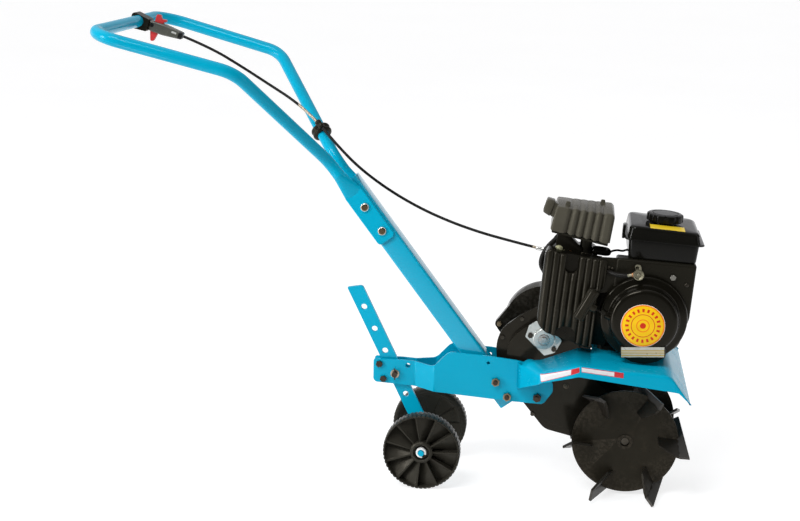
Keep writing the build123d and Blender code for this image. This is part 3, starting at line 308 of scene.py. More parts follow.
def mixf(nt, fac, a, b):
    mx = nt.nodes.new("ShaderNodeMix")
    mx.data_type = "FLOAT"
    nt.links.new(fac, mx.inputs[0])
    for sock, v in ((mx.inputs[2], a), (mx.inputs[3], b)):
        if isinstance(v, (int, float)):
            sock.default_value = v
        else:
            nt.links.new(v, sock)
    return mx.outputs[0]


def bump(nt, h, strength, dist, normal=None):
    b = nt.nodes.new("ShaderNodeBump")
    b.inputs["Strength"].default_value = strength
    b.inputs["Distance"].default_value = dist
    nt.links.new(h, b.inputs["Height"])
    if normal is not None:
        nt.links.new(normal, b.inputs["Normal"])
    return b.outputs[0]


def near_points(nt, pts, rad):
    """1 within rad of any of the points, 0 elsewhere."""
    best = None
    for p in pts:
        v = nt.nodes.new("ShaderNodeVectorMath")
        v.operation = "DISTANCE"
        nt.links.new(coords(nt), v.inputs[0])
        v.inputs[1].default_value = p
        best = v.outputs["Value"] if best is None else math_node(nt, "MINIMUM", best, v.outputs["Value"])
    return maprange(nt, best, rad, rad + 0.0005, 1.0, 0.0)


def axis_radius(nt, p):
    """Distance from the Y line through p, in the XZ plane."""
    sx = nt.nodes.new("ShaderNodeSeparateXYZ")
    nt.links.new(coords(nt), sx.inputs[0])
    dx = math_node(nt, "SUBTRACT", sx.outputs[0], p[0])
    dz = math_node(nt, "SUBTRACT", sx.outputs[2], p[2])
    return math_node(nt, "SQRT", math_node(nt, "ADD", math_node(nt, "MULTIPLY", dx, dx), math_node(nt, "MULTIPLY", dz, dz))), dx, dz, sx


def sc(c, k):
    return tuple(min(1.0, v * k) for v in c)


def surface(name, color, rough=0.4, vary=0.10, grain=900.0, grain_h=0.00005, cloud=9.0, metallic=0.0, coat=0.0, coat_rough=0.08, spec=0.5, rough_var=0.08,
            dust=None, dust_amt=0.0, stretch=None, wear=None, wear_amt=0.0, special=None, tint=None):
    """Base colour that drifts a little, uneven gloss and fine surface grain; optional dust, rubbed edges and special places."""
    mt, nt, bs = new_mat(name)
    cl = noise(nt, cloud, 4.0, 0.6)
    col = ramp(nt, cl, [(0.3, sc(color, 1.0 - vary)), (0.7, sc(color, 1.0 + vary))])
    if dust_amt > 0:
        dn = noise(nt, cloud * 4.3, 6.0, 0.65)
        df = maprange(nt, dn, 0.52, 0.78, 0.0, dust_amt)
        col = mix(nt, df, col, dust)
    rn = noise(nt, cloud * 7.0, 5.0, 0.6)
    ro = maprange(nt, rn, 0.3, 0.7, max(0.02, rough - rough_var), min(1.0, rough + rough_var))
    if wear_amt > 0:
        geo = nt.nodes.new("ShaderNodeNewGeometry")
        wf = math_node(nt, "MULTIPLY", maprange(nt, geo.outputs["Pointiness"], 0.515, 0.56, 0.0, 1.0), maprange(nt, noise(nt, 160.0, 4.0, 0.7), 0.42, 0.62, 0.0, wear_amt))
        col = mix(nt, wf, col, wear)
    if special is not None:
        col, ro = special(nt, bs, col, ro)
    nt.links.new(col, bs.inputs["Base Color"])
    nt.links.new(ro, bs.inputs["Roughness"])
    gn = noise(nt, grain, 3.0, 0.55, stretch)
    nt.links.new(bump(nt, gn, 0.6, grain_h), bs.inputs["Normal"])
    if metallic is not None:
        bs.inputs["Metallic"].default_value = metallic
    bs.inputs["Coat Weight"].default_value = coat
    bs.inputs["Coat Roughness"].default_value = coat_rough
    bs.inputs["Specular IOR Level"].default_value = spec
    if tint:
        bs.inputs["Specular Tint"].default_value = (*tint, 1.0)
    return mt


TINE = L(-9.6, 0, 118)


def blade_lit_strip(nt, bs, col, ro):
    """Lighter strip along the outer edge of each blade: painted light standing in for the bent outer strip that faces
    up into the light.
    """
    rad, dx, dz, sx = axis_radius(nt, TINE)
    jag = math_node(nt, "ADD", rad, maprange(nt, noise(nt, 70.0, 4.0, 0.6), 0.3, 0.7, -0.003, 0.003))
    lim = maprange(nt, math_node(nt, "ABSOLUTE", sx.outputs[1]), 0.025, 0.150, 0.1030, 0.1125)
    f = maprange(nt, math_node(nt, "SUBTRACT", jag, lim), -0.0012, 0.0012, 0.0, 0.85)
    # Painted highlight: the outer strip is lightened as if it caught the light from above.
    col = mix(nt, f, col, (0.050, 0.0475, 0.045))
    return col, mixf(nt, f, ro, 0.34)


def bolt_places(nt, bs, col, ro):
    """Tail, nose and hub bolts are bronzed, the others plated; the handle bolts have a darker bronze dome with a pale
    ring painted round it as a reflection.
    """
    pts = [tuple(L(x, y, z)) for x, z in ((-537.4, 246.9), (-528.8, 213.7)) for y in (-15, 17)]
    pts += [tuple(L(-196.0, y, 191.4)) for y in (-40, 40)]
    f = near_points(nt, pts, 0.0155)
    for x, z in ((-284.4, 223.3), (-259.6, 191.3)):
        rad = axis_radius(nt, L(x, 0, z))[0]
        f = math_node(nt, "MAXIMUM", f, maprange(nt, rad, 0.0050, 0.0054, 1.0, 0.0))
    col = mix(nt, f, col, (0.055, 0.043, 0.034))
    col = mix(nt, near_points(nt, [tuple(E(52, -97, 84))], 0.012), col, (0.30, 0.29, 0.26))
    # Handle bolts: the pale ring on the dome's outer edge is a painted reflection; the core inside it is a darker
    # bronze.
    for t in (225.0, 163.0):
        p = on_mast(t, 0.0, 0.0)
        rad, dx, dz, sx = axis_radius(nt, L(*p))
        near = maprange(nt, rad, 0.0100, 0.0103, 1.0, 0.0)
        rim = math_node(nt, "MULTIPLY", near, maprange(nt, rad, 0.0074, 0.0079, 0.0, 1.0))
        core = math_node(nt, "MULTIPLY", near, maprange(nt, rad, 0.0068, 0.0074, 1.0, 0.0))
        col = mix(nt, core, col, (0.17, 0.125, 0.075))
        col = mix(nt, rim, col, (0.78, 0.77, 0.74))
    return col, ro


def pin_places(nt, bs, col, ro):
    """Dark pin and clip, pale washer between them and the plate."""
    rad, dx, dz, sx = axis_radius(nt, L(-503.505, 0, 225.513))
    f = math_node(nt, "MULTIPLY", maprange(nt, rad, 0.0059, 0.0062, 0.0, 1.0), maprange(nt, sx.outputs[1], -0.01495, -0.01485, 0.0, 1.0))
    return mix(nt, f, col, (0.46, 0.39, 0.29)), ro


def control_places(nt, bs, col, ro):
    """Black end boot, one plain pale bar before it and a dark pivot at the clamp end."""
    o, ex, ez = C(0, 0, 0), CTL.to_3x3() @ Vector((1, 0, 0)), CTL.to_3x3() @ Vector((0, 0, 1))

    def along(axis):
        s = nt.nodes.new("ShaderNodeVectorMath")
        s.operation = "SUBTRACT"
        nt.links.new(coords(nt), s.inputs[0])
        s.inputs[1].default_value = o
        v = nt.nodes.new("ShaderNodeVectorMath")
        v.operation = "DOT_PRODUCT"
        nt.links.new(s.outputs[0], v.inputs[0])
        v.inputs[1].default_value = axis
        return v.outputs["Value"]
    uu, vv = along(ex), along(ez)

    def band(v, a, b):
        return math_node(nt, "MULTIPLY", maprange(nt, v, a - 0.0003, a + 0.0003, 0.0, 1.0), maprange(nt, v, b - 0.0003, b + 0.0003, 1.0, 0.0))
    marks = math_node(nt, "MULTIPLY", band(uu, 0.0755, 0.0860), band(vv, -0.0005, 0.0035))
    col = mix(nt, marks, col, (0.42, 0.42, 0.40))
    col = mix(nt, maprange(nt, uu, 0.0905, 0.0912, 0.0, 1.0), col, (0.006, 0.0058, 0.0052))
    du, dv = math_node(nt, "SUBTRACT", uu, 0.0300), math_node(nt, "SUBTRACT", vv, 0.0010)
    rad = math_node(nt, "SQRT", math_node(nt, "ADD", math_node(nt, "MULTIPLY", du, du), math_node(nt, "MULTIPLY", dv, dv)))
    col = mix(nt, maprange(nt, rad, 0.0042, 0.0048, 1.0, 0.0), col, (0.004, 0.004, 0.004))
    return col, ro


def cowl_recess_shade(nt, bs, col, ro):
    """Painted shade: everything behind the fluted face, the recesses and notches, is darkened."""
    sx = nt.nodes.new("ShaderNodeSeparateXYZ")
    nt.links.new(coords(nt), sx.inputs[0])
    # painted shade: darker colour behind y = -91.5 mm stands for the shadow in the recesses
    f = maprange(nt, sx.outputs[1], -0.0930, -0.0915, 0.0, 0.8)
    return mix(nt, f, col, (0.0035, 0.0031, 0.0024)), ro


def cable_places(nt, bs, col, ro):
    """Bare steel strand between the two lengths of black sheath, and a plated ferrule at the engine end."""
    sx = nt.nodes.new("ShaderNodeSeparateXYZ")
    nt.links.new(coords(nt), sx.inputs[0])
    x = sx.outputs[0]
    a = math_node(nt, "MULTIPLY", maprange(nt, x, L(-723, 0, 0)[0], L(-722, 0, 0)[0], 0.0, 1.0), maprange(nt, x, L(-682, 0, 0)[0], L(-681, 0, 0)[0], 1.0, 0.0))
    b = maprange(nt, x, L(-213, 0, 0)[0], L(-212, 0, 0)[0], 0.0, 1.0)
    f = math_node(nt, "MAXIMUM", a, b)
    nt.links.new(f, bs.inputs["Metallic"])
    return mix(nt, f, col, (0.36, 0.31, 0.24)), mixf(nt, f, ro, 0.42)


BLUE = (0.0008, 0.336, 0.512)
WARM = (1.0, 0.93, 0.78)
M = {
    "blue": surface("blue_enamel", BLUE, rough=0.24, vary=0.035, grain=150.0, grain_h=0.00002, cloud=6.0, coat=0.20, coat_rough=0.05, spec=0.10, rough_var=0.05, tint=(0.1, 0.75, 1.0)),
    "mast": surface("mast_enamel", BLUE, rough=0.24, vary=0.035, grain=120.0, grain_h=0.00002, cloud=6.0, coat=0.9, coat_rough=0.05, spec=0.12, rough_var=0.05, tint=(0.3, 0.8, 1.0)),
    "deck": surface("deck_enamel", BLUE, rough=0.24, vary=0.035, grain=60.0, grain_h=0.00001, cloud=5.0, coat=0.07, coat_rough=0.05, spec=0.07, rough_var=0.05, tint=(0.3, 0.8, 1.0)),
    "gloss_black": surface("gloss_enamel", (0.0100, 0.0088, 0.0064), rough=0.17, vary=0.20, grain=260.0, grain_h=0.00004, dust=(0.020, 0.017, 0.013), dust_amt=0.25, spec=0.20, tint=WARM),
    "cover": surface("cover_enamel", (0.0205, 0.0198, 0.0165), rough=0.20, vary=0.18, grain=260.0, grain_h=0.00004, dust=(0.028, 0.025, 0.020), dust_amt=0.25, spec=0.28, tint=WARM),
    "black_paint": surface("black_enamel", (0.0095, 0.0085, 0.0062), rough=0.30, vary=0.25, grain=520.0, grain_h=0.00006, dust=(0.022, 0.019, 0.014), dust_amt=0.35, spec=0.13, wear=(0.05, 0.046, 0.039), wear_amt=0.5, tint=WARM),
    "disc_black": surface("disc_enamel", (0.0150, 0.0128, 0.0086), rough=0.38, vary=0.28, grain=420.0, grain_h=0.00010, dust=(0.034, 0.027, 0.018), dust_amt=0.55, rough_var=0.12, spec=0.13, wear=(0.06, 0.05, 0.038), wear_amt=0.6, tint=WARM),
    "blade_black": surface("blade_steel", (0.0115, 0.0098, 0.0074), rough=0.40, vary=0.30, grain=420.0, grain_h=0.00012, dust=(0.030, 0.024, 0.017), dust_amt=0.5, rough_var=0.12, spec=0.16, special=blade_lit_strip, tint=WARM),
    "black_plastic": surface("black_plastic", (0.0108, 0.0100, 0.0070), rough=0.30, vary=0.15, grain=1500.0, grain_h=0.00003, rough_var=0.06, spec=0.14, tint=WARM),
    "starter": surface("starter_plastic", (0.0050, 0.0045, 0.0030), rough=0.15, vary=0.15, grain=1500.0, grain_h=0.00002, rough_var=0.04, spec=0.20, tint=WARM),
    "cowl": surface("cowl_plastic", (0.0120, 0.0108, 0.0074), rough=0.23, vary=0.12, grain=1500.0, grain_h=0.00004, rough_var=0.06, spec=0.19, special=cowl_recess_shade, tint=WARM),
    "cleaner": surface("cleaner_plastic", (0.070, 0.065, 0.0495), rough=0.23, vary=0.10, grain=1500.0, grain_h=0.00003, rough_var=0.06, spec=0.09, tint=WARM),
    "tank": surface("tank_plastic", (0.0052, 0.0050, 0.0038), rough=0.16, vary=0.15, grain=700.0, grain_h=0.00002, coat=0.0, coat_rough=0.05, rough_var=0.05, spec=0.14),
    "zinc": surface("zinc_plate", (0.64, 0.67, 0.645), rough=0.33, vary=0.12, grain=500.0, grain_h=0.00005, metallic=1.0, cloud=40.0),
    "pin": surface("pin_steel", (0.060, 0.050, 0.040), rough=0.34, vary=0.22, grain=900.0, grain_h=0.00006, metallic=1.0, cloud=60.0, special=pin_places),
    "cock": surface("cock_casting", (0.27, 0.255, 0.185), rough=0.40, vary=0.20, grain=600.0, grain_h=0.00010, metallic=1.0, cloud=60.0),
    "bolt": surface("bolt_plate", (0.25, 0.195, 0.125), rough=0.28, vary=0.22, grain=900.0, grain_h=0.00006, metallic=1.0, cloud=60.0, special=bolt_places),
    "washer": surface("washer_plate", (0.74, 0.74, 0.72), rough=0.26, vary=0.08, grain=700.0, grain_h=0.00004, metallic=1.0, cloud=70.0),
    "dark_steel": surface("dark_steel", (0.060, 0.053, 0.043), rough=0.36, vary=0.25, grain=900.0, grain_h=0.00006, metallic=1.0, cloud=60.0),
    "steel": surface("plain_steel", (0.50, 0.49, 0.47), rough=0.28, vary=0.12, grain=700.0, grain_h=0.00005, metallic=1.0, cloud=40.0),
    "alloy": surface("cast_alloy", (0.40, 0.40, 0.39), rough=0.45, vary=0.12, grain=500.0, grain_h=0.00012, metallic=1.0, cloud=30.0),
    "carb": surface("carb_casting", (0.090, 0.080, 0.062), rough=0.45, vary=0.25, grain=500.0, grain_h=0.00012, metallic=1.0, cloud=40.0),
    "black_alloy": surface("black_casting", (0.0095, 0.0085, 0.0064), rough=0.46, vary=0.25, grain=450.0, grain_h=0.00015, dust=(0.025, 0.022, 0.016), dust_amt=0.3, spec=0.13, tint=WARM),
    "wheel": surface("wheel_plastic", (0.0200, 0.0186, 0.0146), rough=0.32, vary=0.2, grain=900.0, grain_h=0.00005, dust=(0.022, 0.020, 0.016), dust_amt=0.35, spec=0.16, wear=(0.05, 0.049, 0.044), wear_amt=0.5, tint=WARM),
    "rubber": surface("black_rubber", (0.0070, 0.0064, 0.0052), rough=0.38, vary=0.2, grain=1200.0, grain_h=0.00004, spec=0.16),
    "cable": surface("cable_sheath", (0.0052, 0.0050, 0.0046), rough=0.36, vary=0.15, grain=1600.0, grain_h=0.00003, spec=0.16, metallic=None, special=cable_places),
    "red": surface("red_plastic", (0.47, 0.034, 0.036), rough=0.30, vary=0.12, grain=1200.0, grain_h=0.00003, cloud=60.0, spec=0.25),
    "grey": surface("grey_plastic", (0.070, 0.071, 0.060), rough=0.22, vary=0.15, grain=1300.0, grain_h=0.00004, cloud=40.0, spec=0.4, special=control_places),
    "pale": surface("pale_plastic", (0.72, 0.73, 0.72), rough=0.32, vary=0.06, grain=900.0, grain_h=0.00003, cloud=60.0),
    "rope": surface("rope_cord", (0.016, 0.0145, 0.012), rough=0.8, vary=0.3, grain=2600.0, grain_h=0.0003, cloud=200.0, spec=0.1),
    "brass": surface("brass", (0.60, 0.38, 0.13), rough=0.32, vary=0.2, grain=900.0, grain_h=0.00005, metallic=1.0, cloud=60.0),
    "copper": surface("copper_plate", (0.27, 0.135, 0.065), rough=0.36, vary=0.25, grain=900.0, grain_h=0.00005, metallic=1.0, cloud=80.0),
    "cream": surface("cream_plastic", (0.50, 0.49, 0.30), rough=0.42, vary=0.2, grain=1000.0, grain_h=0.00005, cloud=90.0),
}

ASSIGN = {
    "mast": ["mast_tube"],
    "blue": ["handlebar", "side_plate_right", "side_plate_left", "engine_deck", "depth_bar", "wheel_axle"],
    "bolt": ["frame_bolts"],
    "pin": ["depth_pin"],
    "zinc": ["chassis_spacers", "bearing_flange"],
    "cock": ["fuel_cock", "fuel_cock_lever"],
    "wheel": ["wheel_right", "wheel_left"],
    "pale": ["wheel_retainers"],
    "gloss_black": ["chain_case_right", "chain_case_left"],
    "cover": ["belt_cover"],
    "black_paint": ["belt_backplate", "muffler", "tank_bracket"],
    "dark_steel": ["tine_shaft", "machine_screws", "tine_bolts", "drive_chains", "clutch_shoes"],
    "steel": ["shaft_bearings", "input_shaft", "idler_sprockets", "clutch_drum", "crankshaft"],
    "disc_black": ["tine_disc_right", "tine_disc_left"],
    "blade_black": ["tine_blades"],
    "alloy": ["driven_pulley", "flywheel"],
    "carb": ["carburettor"],
    "rubber": ["drive_belt", "spark_plug", "breather_hose", "fuel_hose"],
    "black_plastic": ["fan_housing", "recoil_cover", "recoil_pulley", "starter_grip", "air_cleaner_base", "control_clamp", "cable_clip"],
    "black_alloy": ["crankcase", "cylinder"],
    "rope": ["starter_rope"],
    "cowl": ["cylinder_cowl"],
    "cleaner": ["air_cleaner_cover"],
    "tank": ["fuel_tank", "fuel_cap"],
    "grey": ["control_body"],
    "red": ["throttle_trigger", "stop_switch"],
}
for key, names in ASSIGN.items():
    for n in names:
        me = NODES[n].data
        me.materials.clear()
        me.materials.append(M[key])
cable.data.materials.append(M["cable"])


def piece(o, body, slot, mat, *stands_for):
    o.data.materials.clear()
    o.data.materials.append(M[mat] if isinstance(mat, str) else mat)
    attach(o, body)
    if stands_for:
        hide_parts(*stands_for)
    return o


def soften(node, width, angle=30.0, segments=2):
    """Small rounding on a CAD piece's sharp edges."""
    o = NODES[node]
    w = o.modifiers.new("weld", "WELD")
    w.merge_threshold = 0.00002
    p = o.modifiers.new("planes", "DECIMATE")
    p.decimate_type = "DISSOLVE"
    p.angle_limit = math.radians(0.8)
    b = o.modifiers.new("bevel", "BEVEL")
    b.width = width
    b.segments = segments
    b.limit_method = "ANGLE"
    b.angle_limit = math.radians(angle)
    b.harden_normals = True
    b.use_clamp_overlap = True


# ------------------------------------------------------------------ pressed deck with its rounded edges
DECK_UP = rounded([(-262, 281), (-190, 283, 60), (-112, 313, 40), (72, 298.52, 26), (113, 240)], 8, False)
DECK_LO = rounded([(-262, 208), (-240, 208), (-186, 265, 20), (-112, 290.5, 30), (88, 264, 8), (113, 240)], 6, False)


def deck_bend(x):
    """Radius of the deck's top edge, broad at the left end."""
    h = float(np.interp(x, [p[0] for p in DECK_UP], [p[1] for p in DECK_UP]) - np.interp(x, [p[0] for p in DECK_LO], [p[1] for p in DECK_LO]))
    return min(float(np.interp(x, (-239.0, -212.0, -196.0, -178.0, -150.0), (20.0, 19.0, 13.0, 8.0, 6.0))), 0.45 * max(0.3, h))


def deck_piece():
    up, lo = DECK_UP, DECK_LO
    pl = rounded([(-239, 38.2), (-188, 164, 26), (-120, 193, 40), (140, 194)], 8, False)
    ux, uz = [p[0] for p in up], [p[1] for p in up]
    lx, lz = [p[0] for p in lo], [p[1] for p in lo]
    px, py = [p[0] for p in pl], [p[1] for p in pl]

    def zu(x):
        return float(np.interp(x, ux, uz))

    def zl(x):
        return float(np.interp(x, lx, lz))

    def yb(x):
        return float(np.interp(x, px, py))
    xs = sorted(set([round(x, 2) for x in ux + lx + px if -239 <= x <= 112.4] + [-239.0, -84.0, -12.0, 112.4] + [round(-230 + 9.5 * k, 2) for k in range(36)]))
    keep = [xs[0]]
    for x in xs[1:]:
        if x - keep[-1] > 0.6 or x in (-84.0, -12.0):
            keep.append(x)
    xs = keep
    bm = bmesh.new()
    NF = 9
    sides = {}
    for s in (-1, 1):
        rows = []
        for x in xs:
            e = 0.5
            tx, ty = 2 * e, yb(x + e) - yb(x - e)
            ln = math.hypot(tx, ty)
            nx, ny = ty / ln, -tx / ln            # inward for the +y side
            top, low, yy = zu(x), zl(x), yb(x)
            rr = deck_bend(x)
            row = [bm.verts.new(L(x + 1.2 * nx, s * (yy + 1.2 * ny), low - 0.0)), bm.verts.new(L(x, s * yy, low + 0.8)), bm.verts.new(L(x, s * yy, (low + top - rr) / 2))]
            for q in range(NF + 1):
                f = math.pi / 2 * q / NF
                o = rr * (1 - math.cos(f))
                row.append(bm.verts.new(L(x + o * nx, s * (yy + o * ny), zu(x + o * nx) - rr + rr * math.sin(f))))
            rows.append(row)
        sides[s] = rows
    for s in (-1, 1):
        rows = sides[s]
        for k in range(len(xs) - 1):
            xm, ym = (xs[k] + xs[k + 1]) / 2, s * yb((xs[k] + xs[k + 1]) / 2)
            for q in range(len(rows[k]) - 1):
                a, b, c2, d2 = rows[k][q], rows[k + 1][q], rows[k + 1][q + 1], rows[k][q + 1]
                zm = (a.co.z + c2.co.z) * 500
                if s > 0 and 20 < ym < 134 and xm < -12:
                    continue
                if abs(ym) < 62 and xm < -84 and zm > 270:
                    continue
                bm.faces.new((a, b, c2, d2) if s < 0 else (d2, c2, b, a))
    breaks = (-62.0, 20.0, 62.0, 134.0)
    grid = []
    for k in range(len(xs)):
        n0, n1 = sides[-1][k][-1], sides[1][k][-1]
        y0, y1 = n0.co.y * 1000, n1.co.y * 1000
        row = [(y0, n0)]
        for yv in breaks:
            if y0 + 1.0 < yv < y1 - 1.0:
                row.append((yv, bm.verts.new(Vector((n0.co.x, yv / 1000, n0.co.z)))))
            else:
                row.append((yv, n0 if yv <= y0 + 1.0 else n1))
        row.append((y1, n1))
        grid.append(row)
    for k in range(len(xs) - 1):
        xm = (grid[k][0][1].co.x + grid[k + 1][0][1].co.x) / 2 - SHIFT
        for q in range(5):
            vs = [grid[k][q][1], grid[k + 1][q][1], grid[k + 1][q + 1][1], grid[k][q + 1][1]]
            uq = []
            for v in vs:
                if v not in uq:
                    uq.append(v)
            if len(uq) < 3:
                continue
            ym = sum(v.co.y for v in uq) / len(uq) * 1000
            if xm * 1000 < -84 and abs(ym) < 62:
                continue
            if xm * 1000 < -12 and 20 < ym < 134:
                continue
            try:
                bm.faces.new(uq)
            except ValueError:
                pass
    bmesh.ops.delete(bm, geom=[v for v in bm.verts if not v.link_faces], context="VERTS")
    bmesh.ops.recalc_face_normals(bm, faces=bm.faces)
    best = max(bm.faces, key=lambda f: f.calc_area())
    if best.normal.z < 0:
        bmesh.ops.reverse_faces(bm, faces=bm.faces)
    o = from_bm("deck_pressing", bm, 40.0, False)
    so = o.modifiers.new("thickness", "SOLIDIFY")
    so.thickness = 0.002
    so.offset = -1.0
    return o


piece(deck_piece(), "chassis", "blue_paint", "deck", "engine_deck")


# ------------------------------------------------------------------ fluted air cleaner cover
def ring_rect(y0, y1, z0, z1, rt, rb, n=5):
    """Rounded rectangle across the machine: rt at the top corners, rb at the bottom ones."""
    return rounded([(y0, z0, rb), (y1, z0, rb), (y1, z1, rt), (y0, z1, rt)], n, True)


def cleaner_piece():
    cuts = [0.0, 0.276, 0.414, 0.542, 0.674, 0.807, 1.0]
    us, gs = [], []
    for k in range(6):
        a, b = cuts[k], cuts[k + 1]
        n = 26 if k in (0, 5) else 18
        for q in range(n):
            t = q / n
            w = abs(2 * t - 1)
            if k == 0:
                g = max(0.0, (t - 0.72) / 0.28) ** 1.7
            elif k == 5:
                g = max(0.0, (0.36 - t) / 0.36) ** 1.7
            else:
                g = w ** 1.7
            us.append(a + (b - a) * t)
            gs.append(6.0 * g)
    us.append(1.0)
    gs.append(0.0)
    for e in (0.003, 0.008, 0.016, 0.027, 0.040, 0.055):
        us += [e, 1 - e]
        gs += [0.0, 0.0]
    order = sorted(range(len(us)), key=lambda i: us[i])
    rings = []
    last = -1
    for i in order:
        uu, g = us[i], gs[i]
        if uu - last < 0.002:
            continue
        last = uu
        s0, s1 = uu * 123.0, (1 - uu) * 123.0
        R0, R1 = 5.0, 9.0
        dd = R0 * (1 - math.sqrt(max(0.0, 1 - ((R0 - s0) / R0) ** 2))) if s0 < R0 else 0.0
        if s1 < R1:
            dd = R1 * (1 - math.sqrt(max(0.0, 1 - ((R1 - s1) / R1) ** 2)))
        zb = 152.8 - 17.8 * uu
        zf, zk = 203.5 - 5.5 * uu, 206.0 - 2.0 * uu
        ring = []
        for (y, z) in ring_rect(-85 + g + dd, 18 - g * 0.6 - dd, zb + min(dd, 2.5) + g * 0.35, 200.0, 6.0, 2.0, 6):
            v = (z - zb) / (200.0 - zb)
            zt = zf + (zk - zf) * (y + 85.0) / 103.0 - g * 0.85 * max(0.04, 1.0 - (y + 85.0) / 84.0) - dd
            zz = zb + (zt - zb) * v
            x0, x1 = -204 + 7.5 * v, -81 + 4.5 * v
            ring.append(E(x0 + (x1 - x0) * uu, y, zz))
        rings.append(ring)
    bm = bmesh.new()
    loft(bm, rings)

    # inlet spout: narrow neck, then a collar with a slanted open mouth
    def sect(pb, pt, y0, y1, rr):
        h = math.hypot(pt[0] - pb[0], pt[1] - pb[1])
        pts = rounded([(y0, 0.0, rr), (y1, 0.0, rr), (y1, h, rr), (y0, h, rr)], 4, True)
        return [E(pb[0] + (pt[0] - pb[0]) * v / h, y, pb[1] + (pt[1] - pb[1]) * v / h) for y, v in pts]
    rings = [sect((-194, 173), (-190, 203), -68, -38, 5.0), sect((-204, 177.5), (-197, 206.5), -68, -38, 5.0), sect((-207.5, 180.0), (-199.5, 208.3), -68, -38, 5.0),
             sect((-208.3, 178.6), (-199.8, 210.4), -70, -36, 5.5), sect((-209.5, 179.0), (-201.0, 211.2), -70.6, -35.4, 5.5), sect((-219.5, 184.4), (-212.5, 213.2), -70.6, -35.4, 5.0),
             sect((-221.5, 186.0), (-214.8, 213.3), -70, -36, 5.0), sect((-221.8, 188.0), (-216.0, 211.4), -68.2, -37.8, 4.0), sect((-206, 182.5), (-199, 205.5), -66.5, -39.5, 3.0),
             sect((-202, 181.5), (-195, 203.5), -65, -41, 3.0)]
    loft(bm, rings)
    # two small lugs on the top
    for (x, y, z, h) in ((-173, -60, 201.5, 11.0), (-100.7, 10, 200.0, 9.0)):
        rg = []
        for inset, hh in ((-0.6, 0.0), (0.0, h * 0.25), (0.3, h * 0.62), (0.9, h - 0.9), (2.2, h)):
            rg.append([E(px + 0.0, py, z + hh) for px, py in rounded([(x - 5 + inset, y - 4.5 + inset, 1.6), (x + 5 - inset, y - 4.5 + inset, 1.6),
                                                                    (x + 5 - inset, y + 4.5 - inset, 1.6), (x - 5 + inset, y + 4.5 - inset, 1.6)], 3, True)])
        loft(bm, rg)
    return from_bm("cleaner_cover_fluted", bm, 40.0)


piece(cleaner_piece(), "chassis", "grey_plastic", "cleaner", "air_cleaner_cover")


